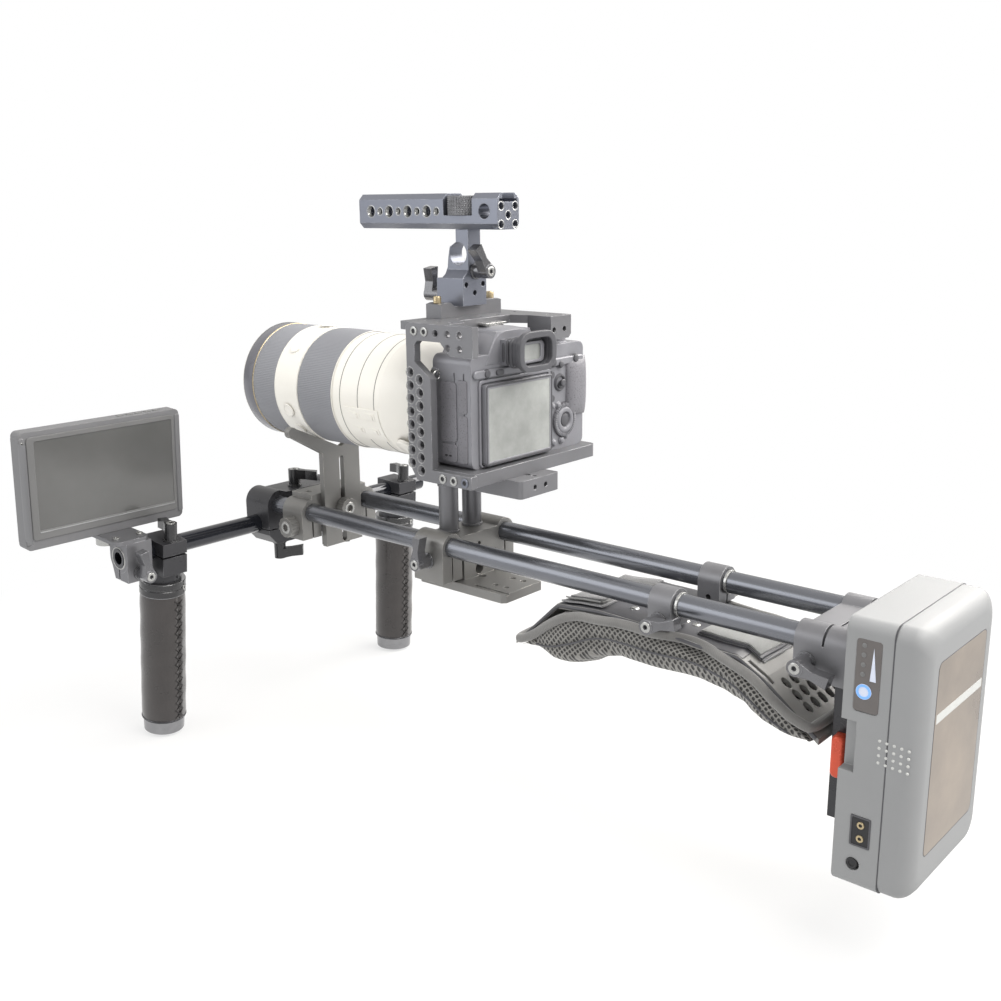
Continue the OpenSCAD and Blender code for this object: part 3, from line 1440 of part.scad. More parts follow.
module battery_outline() {
    translate([battery_x - battery_w / 2, battery_z]) rounded_rect(battery_w, battery_h, battery_r);
}
module battery_front_shell() {
    side = battery_x - battery_w / 2;
    color([0.66, 0.67, 0.67]) difference() {
        union() {
            along_y(battery_seam_y + seat, battery_front_y) battery_outline();
            v_lock(0, 0);
        }
        translate([side - over, battery_front_y - battery_pocket_d, battery_z + battery_pocket_z])
            cube([battery_pocket_d, battery_pocket_d + over, battery_pocket_h]);
        along_x(side - over, side + battery_panel_d) translate([battery_seam_y + battery_panel_in,
            battery_z + battery_panel_rise]) rounded_rect(battery_panel_w, battery_panel_h,
                battery_panel_r);
        bar_x(side - over, side + button_h + over, battery_seam_y + power_button_in,
            battery_z + power_button_rise, power_button_d + 2 * fit);
        for (i = [0:3]) bar_x(side - over, side + button_h, battery_seam_y + led_in,
            battery_z + power_button_rise + led_rise + led_pitch * i, led_d);
        bar_x(side - over, side + jack_depth, battery_seam_y + jack_in, battery_z + jack_rise, jack_d);
        span(side - over, side + jack_depth, battery_seam_y + socket_in,
            battery_seam_y + socket_in + socket_w,
            battery_z + socket_rise, battery_z + socket_rise + socket_h);
    }
}
module battery_rear_shell() {
    color([0.68, 0.67, 0.66]) difference() {
        along_y(battery_seam_y - battery_rear_t, battery_seam_y) battery_outline();
        translate([battery_x - battery_label_w / 2, battery_seam_y - battery_rear_t - over,
            battery_z + battery_label_rise]) cube([battery_label_w, over + battery_label_d,
                battery_label_h]);
    }
}
module battery_power_button() {
    color([0.3, 0.3, 0.3]) bar_x(battery_x - battery_w / 2 - power_button_h / 2,
        battery_x - battery_w / 2 + button_h, battery_seam_y + power_button_in,
        battery_z + power_button_rise, power_button_d);
}

main_rods();
cross_rod();
front_clamp();
front_top_lever();
front_left_lever();
front_right_lever();
left_grip_clamp();
left_grip_lever();
left_grip_core();
left_grip_leather();
right_grip_clamp();
right_grip_lever();
right_grip_core();
right_grip_leather();
monitor_clamp();
monitor_clamp_lever();
monitor_mount_plate();
monitor_thumbwheel();
monitor_shell();
monitor_screen();
lens_support_bridge();
lens_support_rod_knob();
lens_support_cradle();
lens_support_height_knob();
lens_barrel();
focus_ring();
zoom_ring();
lens_glass();
camera_body();
camera_display();
camera_eyecup();
camera_rear_wheel();
camera_mode_dial();
camera_shutter_button();
camera_buttons();
cage_side_plate();
cage_base();
cage_top();
riser();
baseplate();
baseplate_lever();
handle_rail_clamp();
handle_post();
handle_grip();
handle_wheel();
handle_front_lever();
handle_rear_lever();
pad_clamps();
pad_lever();
pad_knob();
pad_frame();
pad_cushion();
pad_straps();
battery_clamp();
battery_lever();
battery_plate();
battery_latch();
battery_front_shell();
battery_rear_shell();
battery_power_button();
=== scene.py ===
"""Looks of the camera shoulder rig. Metres, +Y forward, +X the operator's right, +Z up."""
import json
import math

import bmesh
import bpy
import numpy as np
from mathutils import Matrix, Vector


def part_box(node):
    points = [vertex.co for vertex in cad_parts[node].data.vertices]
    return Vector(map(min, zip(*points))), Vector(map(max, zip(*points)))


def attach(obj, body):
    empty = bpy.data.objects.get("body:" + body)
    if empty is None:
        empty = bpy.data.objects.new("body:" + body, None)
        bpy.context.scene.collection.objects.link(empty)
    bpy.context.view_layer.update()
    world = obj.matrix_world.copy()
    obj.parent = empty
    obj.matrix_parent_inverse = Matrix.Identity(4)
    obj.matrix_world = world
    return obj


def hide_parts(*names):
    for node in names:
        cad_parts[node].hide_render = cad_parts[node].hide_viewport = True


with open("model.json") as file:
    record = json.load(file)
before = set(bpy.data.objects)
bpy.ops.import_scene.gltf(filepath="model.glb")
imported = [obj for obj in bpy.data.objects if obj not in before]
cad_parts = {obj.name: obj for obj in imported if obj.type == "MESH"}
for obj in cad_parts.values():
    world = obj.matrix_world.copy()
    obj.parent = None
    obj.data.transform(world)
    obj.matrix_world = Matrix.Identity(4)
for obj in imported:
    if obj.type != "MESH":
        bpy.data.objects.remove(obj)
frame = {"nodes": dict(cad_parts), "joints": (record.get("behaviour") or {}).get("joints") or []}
NODES = frame["nodes"]
JOINTS = {j["name"]: j for j in frame["joints"]}
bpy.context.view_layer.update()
MM = 0.001

# Places that several pieces share, in mm
LENS_Z = 140.5
ROD_X = 30
ROD_Z = 36
CROSS_Y = 223
CROSS_Z = 19.5
CAMERA_REAR = 33
BATTERY_LEFT = -54

# Directions
LEFT = (-1, 0, 0)
FORWARD = (0, 1, 0)
TO_OPERATOR = (0, -1, 0)
UP = (0, 0, 1)

# Placing frames: one with the part's own axes, one with X across, Y up and Z to the operator
ROW = Matrix.Identity(4)
REARWARD = Matrix.Rotation(math.radians(90), 4, "X")


# Materials
WAVE_PITCH = 0.314159  # the pitch of a wave texture at scale 1


def rgb(code):
    """A colour written as sRGB hex, as the linear value that a socket takes."""
    parts = [int(code[i:i + 2], 16) / 255 for i in (1, 3, 5)]
    return (*[c / 12.92 if c <= 0.04045 else ((c + 0.055) / 1.055) ** 2.4 for c in parts], 1.0)


def add(tree, kind, sockets=None, **settings):
    """Adds a shader node; each socket takes a value, or another node's output, which is linked."""
    made = tree.nodes.new("ShaderNode" + kind)
    for key, value in settings.items():
        setattr(made, key, value)
    for key, value in (sockets or {}).items():
        if isinstance(value, bpy.types.NodeSocket):
            tree.links.new(value, made.inputs[key])
        else:
            made.inputs[key].default_value = value
    return made


def pebbles(t, at, size):
    """Rounded cells, as in leather grain."""
    v = add(t, "TexVoronoi", {"Vector": at, "Scale": 1 / (size * MM), "Smoothness": 0.6}, feature="SMOOTH_F1")
    return v.outputs["Distance"]


def speckle(t, at, size):
    """Fine blasted or moulded grain."""
    return add(t, "TexNoise", {"Vector": at, "Scale": 1 / (size * MM), "Detail": 3.0}).outputs["Fac"]


def ribs(t, at, size, axis="Y"):
    """Bands of that pitch along an axis."""
    w = add(t, "TexWave", {"Vector": at, "Scale": WAVE_PITCH / (size * MM)}, wave_type="BANDS",
            bands_direction=axis)
    return w.outputs["Fac"]


def lattice(t, at, size):
    """Threads that cross in a lattice, over faces that look along X as well as Z."""
    s = add(t, "SeparateXYZ", {"Vector": at})
    across = add(t, "Math", {0: s.outputs["X"], 1: s.outputs["Z"]}, operation="ADD").outputs[0]
    waves = []
    for sign in (1, -1):
        slant = add(t, "Math", {0: across, 1: float(sign)}, operation="MULTIPLY").outputs[0]
        line = add(t, "Math", {0: s.outputs["Y"], 1: slant}, operation="ADD").outputs[0]
        turn = add(t, "Math", {0: line, 1: math.pi / (size * MM)}, operation="MULTIPLY").outputs[0]
        wave = add(t, "Math", {0: turn}, operation="SINE").outputs[0]
        waves.append(add(t, "Math", {0: wave}, operation="ABSOLUTE").outputs[0])
    return add(t, "Math", {0: waves[0], 1: waves[1]}, operation="MULTIPLY").outputs[0]


def knurl(t, at, count):
    """Ribs along Y, that many round the lens's axis."""
    s = add(t, "SeparateXYZ", {"Vector": at})
    rise = add(t, "Math", {0: s.outputs["Z"], 1: LENS_Z * MM}, operation="SUBTRACT").outputs[0]
    turn = add(t, "Math", {0: rise, 1: s.outputs["X"]}, operation="ARCTAN2").outputs[0]
    many = add(t, "Math", {0: turn, 1: float(count)}, operation="MULTIPLY").outputs[0]
    wave = add(t, "Math", {0: many}, operation="SINE").outputs[0]
    return add(t, "MapRange", {"Value": wave, "From Min": -0.7, "From Max": 0.7}).outputs[0]


PATTERNS = {"pebbles": pebbles, "speckle": speckle, "ribs": ribs, "lattice": lattice, "knurl": knurl}

# Ranges that every finish shares: the noise that is used, the share that its roughness strays, the turn of a
# normal at which an edge starts and ends its lightening, rubbing and painted highlight in one, and the
# patches of that lightening with their pitch in mm
NOISE_USED = {"From Min": 0.3, "From Max": 0.7}
SMEAR_SHARES = (0.82, 1.18)
EDGE_TURN = {"From Min": 0.97, "From Max": 0.8}
WEAR_AND_GLINT_PATCHES = {"From Min": 0.42, "From Max": 0.6}
WEAR_AND_GLINT_PATCH_PITCH = 9
SMOOTHEST = 0.02
COAT_ROUGHNESS = 0.12


def finish(name, colour, rough, metal=0.0, tone=(60, 0.07), relief=(), pit_shade=None, wear_and_glint=None,
           stretch=(1, 1, 1), coat=0.0, sheen=0.0, edge=0.35, light=0.0, ior=0.5):
    """A surface: tone is (pitch in mm, share) and relief is rows of (pattern, pitch or count, depth in mm);
    dark paints shade into the pits of the first relief as (colour, from, to), wear lightens edges as
    (colour, strength), rubbing and painted highlight in one, and edge rounds them in mm."""
    m = bpy.data.materials.new(name)
    m.use_nodes = True
    t = m.node_tree
    t.nodes.clear()
    base = rgb(colour)
    at = add(t, "TexCoord").outputs["Object"]
    drawn = add(t, "Mapping", {"Vector": at, "Scale": stretch}).outputs[0]
    broad = add(t, "TexNoise", {"Vector": drawn, "Scale": 1 / (tone[0] * MM), "Detail": 5.0,
                                "Roughness": 0.62}).outputs["Fac"]
    level = add(t, "MapRange", {"Value": broad, **NOISE_USED, "To Min": 1 - tone[1],
                                "To Max": 1 + tone[1]}).outputs[0]
    mixed = add(t, "HueSaturation", {"Color": base, "Value": level}).outputs[0]
    height = None
    for kind, size, depth in relief:
        raw = PATTERNS[kind](t, at, size)
        # the pits of the first relief take painted shade
        if pit_shade and height is None:
            pit_shade_mask = add(t, "MapRange", {"Value": raw, "From Min": pit_shade[1], "From Max": pit_shade[2]}).outputs[0]
            mixed = add(t, "MixRGB", {"Fac": pit_shade_mask, "Color1": rgb(pit_shade[0]), "Color2": mixed}).outputs[0]
        deep = add(t, "Math", {0: raw, 1: depth}, operation="MULTIPLY").outputs[0]
        height = deep if height is None else add(t, "Math", {0: height, 1: deep}, operation="ADD").outputs[0]
    round_edge = add(t, "Bevel", {"Radius": edge * MM}, samples=4).outputs[0]
    # edges lighten, partly by rubbing and partly as painted highlight
    if wear_and_glint:
        true = add(t, "NewGeometry").outputs["Normal"]
        turn = add(t, "VectorMath", {0: round_edge, 1: true}, operation="DOT_PRODUCT").outputs["Value"]
        worn_and_lit_edges = add(t, "MapRange", {"Value": turn, **EDGE_TURN}).outputs[0]
        patchy = add(t, "MapRange", {"Value": speckle(t, at, WEAR_AND_GLINT_PATCH_PITCH), **WEAR_AND_GLINT_PATCHES,
                                     "To Max": wear_and_glint[1]}).outputs[0]
        rubbed_and_lit = add(t, "Math", {0: worn_and_lit_edges, 1: patchy}, operation="MULTIPLY").outputs[0]
        mixed = add(t, "MixRGB", {"Fac": rubbed_and_lit, "Color1": mixed, "Color2": rgb(wear_and_glint[0])}).outputs[0]
    smear = add(t, "MapRange", {"Value": broad, **NOISE_USED,
                                "To Min": max(SMOOTHEST, rough * SMEAR_SHARES[0]),
                                "To Max": min(1.0, rough * SMEAR_SHARES[1])}).outputs[0]
    sockets = {"Base Color": base, "Roughness": rough, "Metallic": metal, "Coat Weight": coat,
               "Coat Roughness": COAT_ROUGHNESS, "Sheen Weight": sheen, "Specular IOR Level": ior}
    if light:
        sockets.update({"Emission Color": base, "Emission Strength": light})
    skin = add(t, "BsdfPrincipled", sockets)
    # the plain colour and roughness stay on their sockets, under these links
    t.links.new(mixed, skin.inputs["Base Color"])
    t.links.new(smear, skin.inputs["Roughness"])
    normal = round_edge
    if height is not None:
        normal = add(t, "Bump", {"Height": height, "Normal": round_edge, "Distance": MM,
                                 "Strength": 1.0}).outputs[0]
    t.links.new(normal, skin.inputs["Normal"])
    add(t, "OutputMaterial", {"Surface": skin.outputs[0]})
    m.diffuse_color = base
    return m


# The light edge colours below stand for rubbed edges and painted edge highlights together
# Hard anodised, bead-blasted plates and clamps: satin mid grey with edges lightened by rubbing and by painted
# highlight
GREY = finish("hard_anodised_grey_aluminium", "#7b7b7e", rough=0.42, metal=0.6, tone=(45, 0.08),
              relief=[("speckle", 0.35, 0.012)], wear_and_glint=("#dcdde0", 0.9), edge=0.5)
# The top handle's anodising, milled smoother: bluer, with longer highlights
HANDLE = finish("blue_grey_anodised_aluminium", "#7b7e88", rough=0.32, metal=0.72, tone=(60, 0.07),
                relief=[("speckle", 0.4, 0.01)], wear_and_glint=("#dde0e8", 0.9), edge=0.7)
# The baseplate's and lens support's anodising, blasted coarser: a warm, dull grey
WARM = finish("warm_grey_anodised_aluminium", "#868583", rough=0.42, metal=0.55, tone=(50, 0.08),
              relief=[("speckle", 0.4, 0.014)], wear_and_glint=("#dcd8d0", 0.8), edge=0.7)
# Black anodised clamps: near black, with crisp light edges
BLACK = finish("black_anodised_aluminium", "#3a3a3d", rough=0.3, metal=0.35, tone=(30, 0.1),
               relief=[("speckle", 0.35, 0.01)], wear_and_glint=("#a4a4a8", 0.7), edge=0.7)
# Cast and lacquered thumb levers: slightly wavy, and glossier than their clamps
LEVER_BLACK = finish("black_lacquered_zinc", "#2a2a2c", rough=0.24, metal=0.2, tone=(14, 0.12),
                     relief=[("speckle", 2.2, 0.03)], wear_and_glint=("#77777a", 0.5), coat=0.4, edge=0.7)
LEVER_GREY = finish("grey_lacquered_zinc", "#707073", rough=0.22, metal=0.7, tone=(14, 0.12),
                    relief=[("speckle", 2.2, 0.03)], wear_and_glint=("#b3b3b6", 0.6), coat=0.35, edge=0.7)
# Drawn and anodised tube: cool grey, with faint streaks along its length
ROD = finish("anodised_aluminium_tube", "#73757b", rough=0.27, metal=0.85, tone=(9, 0.08),
             relief=[("speckle", 0.5, 0.004)], wear_and_glint=("#b6b6bd", 0.8), stretch=(1, 0.04, 1), coat=0.25)
# The cross rod's tube, dyed and polished: almost black, with a blue cast
CROSS = finish("polished_black_tube", "#23252c", rough=0.12, metal=0.5, tone=(9, 0.1),
               relief=[("speckle", 0.5, 0.003)], wear_and_glint=("#6c6e78", 0.8), stretch=(0.04, 1, 1), coat=0.6)
# Dyed hide, waxed: pebbled dark brown, with painted shade in its pits and a sheen on its high points
LEATHER = finish("dyed_black_leather", "#2b2625", rough=0.3, tone=(22, 0.2),
                 relief=[("pebbles", 1.1, 0.07), ("speckle", 0.4, 0.03)], pit_shade=("#1b1817", 0.02, 0.25),
                 coat=0.3, sheen=0.25, edge=0.6)
# Waxed and twisted thread: darker and duller than the hide
THREAD = finish("waxed_thread", "#1c1919", rough=0.5, tone=(3, 0.15), relief=[("speckle", 0.25, 0.04)])
# Turned steel of screws and pins: bright, with a lathe's fine grain
STEEL = finish("turned_steel", "#b3b3b1", rough=0.26, metal=0.85, tone=(6, 0.06),
               relief=[("speckle", 0.3, 0.006)], wear_and_glint=("#e8e8e6", 0.6))
# Polished steel of the grips' ends: darker than the screws, as a painted reflection of the floor's shade, and
# with a sharper mirror
CAP_STEEL = finish("polished_steel_cap", "#929294", rough=0.16, metal=0.9, tone=(8, 0.08),
                   relief=[("speckle", 0.3, 0.006)], wear_and_glint=("#d2d2d0", 0.5))
# Turned brass of the contacts, the rail's screws and the lens's fine line: warm, and pale with painted
# highlight where the light washes it out
BRASS = finish("pale_brass", "#b9a988", rough=0.3, metal=0.8, tone=(5, 0.1), relief=[("speckle", 0.3, 0.006)],
               wear_and_glint=("#ecdcae", 0.6))
# Moulded nylon of the levers' washers: milky and even
NYLON = finish("white_nylon", "#c6c7c4", rough=0.45, tone=(8, 0.04), relief=[("speckle", 0.5, 0.01)])
# Near black walls of key holes, slots and sockets, which hold almost no light: painted shade; the lens's
# threads and retainer take the same colour
HOLLOW = finish("shaded_hollow", "#2c2c2e", rough=0.7, tone=(5, 0.2), relief=[("speckle", 0.4, 0.01)])
# Spark-eroded ABS of the monitor: fine even grain, edges lighter, a little polished and partly painted
# highlight
MONITOR = finish("textured_grey_abs", "#707072", rough=0.5, tone=(55, 0.05), relief=[("speckle", 0.45, 0.03)],
                 wear_and_glint=("#b0afab", 0.5), edge=0.8)
# Coated panel of the monitor: smooth, with a broad pale veil of painted reflection
SCREEN = finish("monitor_panel", "#5a5a59", rough=0.16, tone=(160, 0.2), relief=[("speckle", 3.0, 0.001)],
                coat=0.6)
# Moulded satin ABS of bezel and keys: smoother than the shell
BEZEL = finish("satin_bezel", "#6e6e6e", rough=0.35, tone=(45, 0.05), relief=[("speckle", 0.4, 0.012)],
               edge=0.6)
# Crinkle-coated magnesium of the camera: fine bumps that scatter its highlights
CAMERA = finish("crinkle_coated_magnesium", "#86868b", rough=0.36, metal=0.3, tone=(28, 0.08),
                relief=[("pebbles", 0.7, 0.06), ("speckle", 0.35, 0.03)], wear_and_glint=("#b4b4ba", 0.5), edge=0.9)
# Grained rubber of grip, thumb rest and doors: coarse cells, darker where the grain sinks, as painted shade
GRAINED = finish("grained_grip_rubber", "#77767b", rough=0.45, tone=(24, 0.07),
                 relief=[("pebbles", 1.5, 0.13)], pit_shade=("#4b4b4f", 0.06, 0.3), edge=0.8)
# Smooth moulded rubber of eyecup, keys and trims: dark and satin
SMOKE = finish("smooth_dark_rubber", "#4f4f53", rough=0.42, tone=(12, 0.1), relief=[("speckle", 0.3, 0.02)],
               edge=0.8)
# Display glass: glossy, with soft clouds of painted reflection in place of the room that it mirrors
GLASS_LCD = finish("display_glass", "#8f918e", rough=0.07, tone=(46, 0.3), relief=[("speckle", 4.0, 0.001)],
                   coat=0.8)
# Coated front glass: deep violet and mirror smooth
COATED = finish("coated_front_glass", "#2c2a45", rough=0.04, tone=(30, 0.25),
                relief=[("speckle", 5.0, 0.001)], coat=1.0, ior=0.9)
# Baked enamel of the lens barrel: white, warm in the shade
ENAMEL = finish("white_enamel", "#efece4", rough=0.34, tone=(70, 0.02), relief=[("speckle", 0.5, 0.01)],
                coat=0.3, edge=0.6)
# Ribbed rubber of the lens rings: ribs along the lens, one every 1.4 mm round it, with faint painted shade in
# the grooves
RING_RIBS = 210
RIBBED = finish("ribbed_lens_rubber", "#8e8f94", rough=0.6, tone=(25, 0.06),
                relief=[("knurl", RING_RIBS, 0.1)], pit_shade=("#85868b", 0.0, 0.75), edge=0.3)
# Lacquered front rim of the lens: smooth dark grey
RIM = finish("lens_rim_lacquer", "#66666d", rough=0.3, metal=0.3, tone=(30, 0.06),
             relief=[("speckle", 0.4, 0.008)], coat=0.4)
# Knitted spacer mesh of the pad: open holes every 4.3 mm, painted dark inside as shade
MESH = finish("spacer_mesh_fabric", "#8b8985", rough=0.8, tone=(60, 0.16),
              relief=[("lattice", 4.3, -0.7), ("speckle", 0.6, 0.1)], pit_shade=("#2b2a29", 0.5, 0.34), sheen=0.3,
              edge=0.1)
# Brushed nylon of the binding: soft, with the ribs of its weave under a short pile
FELT = finish("brushed_nylon_binding", "#72716f", rough=0.9, tone=(12, 0.14),
              relief=[("speckle", 0.7, 0.18), ("ribs", 1.4, 0.08)], sheen=0.5, edge=0.1)
# Woven strap: dull ribs that run across the pad, one every 1.5 mm, with painted shade between them
WEBBING = finish("woven_strap", "#8b8b8d", rough=0.8, tone=(20, 0.08),
                 relief=[("ribs", 1.5, 0.28), ("speckle", 0.4, 0.08)], pit_shade=("#6a6a6c", 0.05, 0.5), sheen=0.4,
                 edge=0.1)
# Hook-and-loop tape: a pale, soft pile with loops every 1.1 mm, and painted shade between the loops
LOOPS = finish("hook_and_loop_tape", "#9fa09e", rough=0.9, tone=(14, 0.08),
               relief=[("lattice", 1.1, 0.3), ("speckle", 0.5, 0.15)], pit_shade=("#8d8d8b", 0.05, 0.4), sheen=0.5,
               edge=0.1)
# Powder-coated steel of the pad's frame: a faint orange peel
POWDER = finish("powder_coated_steel", "#858482", rough=0.46, metal=0.15, tone=(50, 0.07),
                relief=[("speckle", 0.7, 0.03)], wear_and_glint=("#c4c2be", 0.7), edge=0.7)
# Spark-eroded ABS of the battery: matt grey, soft at its rims
SHELL = finish("spark_textured_abs", "#909192", rough=0.52, tone=(60, 0.045), relief=[("speckle", 0.4, 0.04)],
               wear_and_glint=("#c2c3c3", 0.5), edge=1.2)
# Printed foil of the battery's bare label: brown and slightly metallic
LABEL = finish("foil_label", "#897e73", rough=0.3, metal=0.3, tone=(70, 0.3),
               relief=[("speckle", 0.6, 0.006)], edge=0.1)
# Smoked polycarbonate over the charge lights: glossy brown-black
PANEL = finish("smoked_panel", "#5d5856", rough=0.22, tone=(14, 0.08), relief=[("speckle", 0.6, 0.004)],
               coat=0.5)
# Lit ring and milky light guides, which glow a little
RING_BLUE = finish("lit_ring", "#6fa0e0", rough=0.3, tone=(4, 0.1), relief=[("speckle", 0.5, 0.004)],
                   light=0.5)
GUIDE = finish("milky_light_guide", "#cdd3e2", rough=0.35, tone=(10, 0.06), relief=[("speckle", 0.5, 0.004)],
               light=0.1)
# Red anodised latch: satin, paler at its edges
RED = finish("red_anodised_latch", "#cf5238", rough=0.3, metal=0.25, tone=(14, 0.1),
             relief=[("speckle", 0.3, 0.012)], wear_and_glint=("#f0a892", 0.6), edge=0.7)

DRESS = {
    GREY: "cage_side_plate cage_base cage_top riser handle_rail_clamp handle_wheel monitor_clamp "
          "monitor_mount_plate pad_clamps battery_clamp",
    HANDLE: "handle_grip handle_post",
    WARM: "baseplate lens_support_bridge lens_support_cradle lens_support_rod_knob lens_support_height_knob "
          "pad_knob",
    BLACK: "front_clamp left_grip_clamp right_grip_clamp battery_plate",
    LEVER_BLACK: "front_top_lever front_left_lever front_right_lever left_grip_lever right_grip_lever",
    LEVER_GREY: "monitor_clamp_lever baseplate_lever handle_front_lever handle_rear_lever pad_lever "
                "battery_lever",
    CAP_STEEL: "left_grip_core right_grip_core",
    STEEL: "monitor_thumbwheel camera_shutter_button",
    ROD: "main_rods",
    CROSS: "cross_rod",
    MONITOR: "monitor_shell",
    SCREEN: "monitor_screen",
    ENAMEL: "lens_barrel",
    RIBBED: "focus_ring zoom_ring",
    COATED: "lens_glass",
    CAMERA: "camera_body camera_display",
    SMOKE: "camera_eyecup camera_buttons",
    GRAINED: "camera_rear_wheel camera_mode_dial",
    POWDER: "pad_frame",
    SHELL: "battery_front_shell battery_rear_shell",
    RED: "battery_latch",
    GUIDE: "battery_power_button",
    MESH: "pad_cushion",
    WEBBING: "pad_straps",
    LEATHER: "left_grip_leather right_grip_leather",
}
for material, names in DRESS.items():
    for name in names.split():
        node = NODES[name]
        if not node.data.materials:
            node.data.materials.append(material)
        for place in node.material_slots:
            place.material = material


# Mesh helpers, all in mm
def frame_at(origin, out, along=UP):
    """A placing matrix: Z looks out, X lies along."""
    z = Vector(out).normalized()
    x = Vector(along) - z * z.dot(Vector(along))
    x = (x if x.length > 1e-6 else z.orthogonal()).normalized()
    m = Matrix((x, z.cross(x), z)).transposed().to_4x4()
    m.translation = Vector(origin) * MM
    return m


def shifted(x, y, z):
    """A placing matrix that only moves, by mm."""
    return Matrix.Translation(Vector((x, y, z)) * MM)


def at_joint(name):
    """A placing matrix on a joint, with Z along its axis."""
    joint = JOINTS[name]
    return frame_at([v / MM for v in joint["pos_m"]], joint["axis"])


def circle(radius, angle):
    """A point on a circle, at an angle in radians."""
    return radius * math.cos(angle), radius * math.sin(angle)


def lathe(profile, n=40):
    """A profile of (radius, height) turned about Z."""
    m = len(profile)
    points = [(*circle(r, 2 * math.pi * k / n), z) for k in range(n) for r, z in profile]
    faces = [(k * m + i, (k + 1) % n * m + i, (k + 1) % n * m + i + 1, k * m + i + 1)
             for k in range(n) for i in range(m - 1)]
    return points, faces


def loft(sections):
    """A closed body through outlines of as many points, each with its height."""
    n = len(sections[0][0])
    points = [(x, y, h) for outline, h in sections for x, y in outline]
    faces = [(k * n + i, k * n + (i + 1) % n, (k + 1) * n + (i + 1) % n, (k + 1) * n + i)
             for k in range(len(sections) - 1) for i in range(n)]
    return points, faces + [tuple(range(n))[::-1], tuple(range(len(points) - n, len(points)))]


def prism(outline, low, high):
    """An outline raised between two heights."""
    return loft([(outline, low), (outline, high)])


def rounded(x0, x1, y0, y1, r, n=5):
    """The outline of a rectangle with round corners."""
    out = []
    corners = ((x1 - r, y1 - r, 0), (x0 + r, y1 - r, 90), (x0 + r, y0 + r, 180), (x1 - r, y0 + r, 270))
    for cx, cy, start in corners:
        for i in range(n + 1):
            dx, dy = circle(r, math.radians(start + 90 * i / n))
            out.append((cx + dx, cy + dy))
    return out


def centred(half_x, half_y, r):
    """The outline of a rounded rectangle about the middle."""
    return rounded(-half_x, half_x, -half_y, half_y, r)


def band(outer, inner, low, high):
    """A flat frame between two outlines with as many points."""
    n = len(outer)
    rings = ((outer, low), (outer, high), (inner, high), (inner, low))
    points = [(x, y, z) for line, z in rings for x, y in line]
    return points, [(a * n + i, a * n + (i + 1) % n, (a + 1) % 4 * n + (i + 1) % n, (a + 1) % 4 * n + i)
                    for a in range(4) for i in range(n)]


def tube(points, radius, n=10, closed=False):
    """A round bar that follows points."""
    p = [Vector(q) for q in points]
    out, faces, side = [], [], None
    for i, q in enumerate(p):
        before = p[i - 1] if i or closed else q
        after = p[(i + 1) % len(p)] if i + 1 < len(p) or closed else q
        t = (after - before).normalized()
        side = t.orthogonal() if side is None else side - t * side.dot(t)
        side.normalize()
        up = t.cross(side)
        for k in range(n):
            u, v = circle(radius, 2 * math.pi * k / n)
            out.append(tuple(q + side * u + up * v))
    for i in range(len(p) if closed else len(p) - 1):
        j = (i + 1) % len(p)
        faces += [(i * n + k, i * n + (k + 1) % n, j * n + (k + 1) % n, j * n + k) for k in range(n)]
    if not closed:
        faces += [tuple(range(n))[::-1], tuple(range(len(out) - n, len(out)))]
    return out, faces


def pillow(x0, x1, y0, y1, rise, foot=0.0, n=16, power=3.0):
    """A patch that swells from its edges to that rise."""
    spread = [math.sin(math.pi / 2 * (2 * q / n - 1)) for q in range(n + 1)]
    points, faces = [], []
    for u in spread:
        for v in spread:
            swell = ((1 - abs(u) ** power) * (1 - abs(v) ** power)) ** 0.5
            points.append((x0 + (x1 - x0) * (u + 1) / 2, y0 + (y1 - y0) * (v + 1) / 2, foot + rise * swell))
    for i in range(n):
        faces += [(i * (n + 1) + k, (i + 1) * (n + 1) + k, (i + 1) * (n + 1) + k + 1, i * (n + 1) + k + 1)
                  for k in range(n)]
    return points, faces


def moved(part, x=0.0, y=0.0, z=0.0):
    """A part shifted in its placing frame."""
    return [(a + x, b + y, c + z) for a, b, c in part[0]], part[1]


def shape(name, parts, place, body, material, bevel=0.0, smooth=35, subdivide=0):
    """Makes one piece from parts given in mm in a placing frame, and lets it ride on its body."""
    bm = bmesh.new()
    for points, faces in parts:
        made = [bm.verts.new(place @ (Vector(p) * MM)) for p in points]
        for f in faces:
            bm.faces.new([made[i] for i in f])
    bmesh.ops.remove_doubles(bm, verts=bm.verts, dist=1e-7)
    bmesh.ops.recalc_face_normals(bm, faces=bm.faces)
    mesh = bpy.data.meshes.new(name)
    bm.to_mesh(mesh)
    bm.free()
    mesh.polygons.foreach_set("use_smooth", [True] * len(mesh.polygons))
    mesh.set_sharp_from_angle(angle=math.radians(smooth))
    mesh.materials.append(material)
    o = bpy.data.objects.new(name, mesh)
    bpy.context.scene.collection.objects.link(o)
    if bevel:
        mod = o.modifiers.new("edge", "BEVEL")
        mod.width = bevel * MM
        mod.segments = 3
        mod.limit_method = "ANGLE"
        mod.angle_limit = math.radians(30)
    if subdivide:
        mod = o.modifiers.new("soft", "SUBSURF")
        mod.levels = mod.render_levels = subdivide
    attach(o, body)
    return o


def turned(name, profile, n, place, body, material):
    """One piece that is turned on a lathe."""
    return shape(name, [lathe(profile, n)], place, body, material)


# Levers, knobs and screws
def socket_screw(name, place, body, radius, height, material=STEEL, key=0.45):
    """A screw's head with a chamfered rim and a six-sided key hole; key is the hole's share of the radius."""
    key_r, floor = radius * key, height * 0.35
    head = [(key_r, floor), (key_r * 1.05, height * 0.96), (radius * 0.86, height), (radius, height * 0.82),
            (radius, -0.2)]
    turned(name, head, 24, place, body, material)
    # a near black cone in the key hole: painted shade
    turned(name + "_key", [(0, floor), (key_r, height * 0.4)], 6, place, body, HOLLOW)


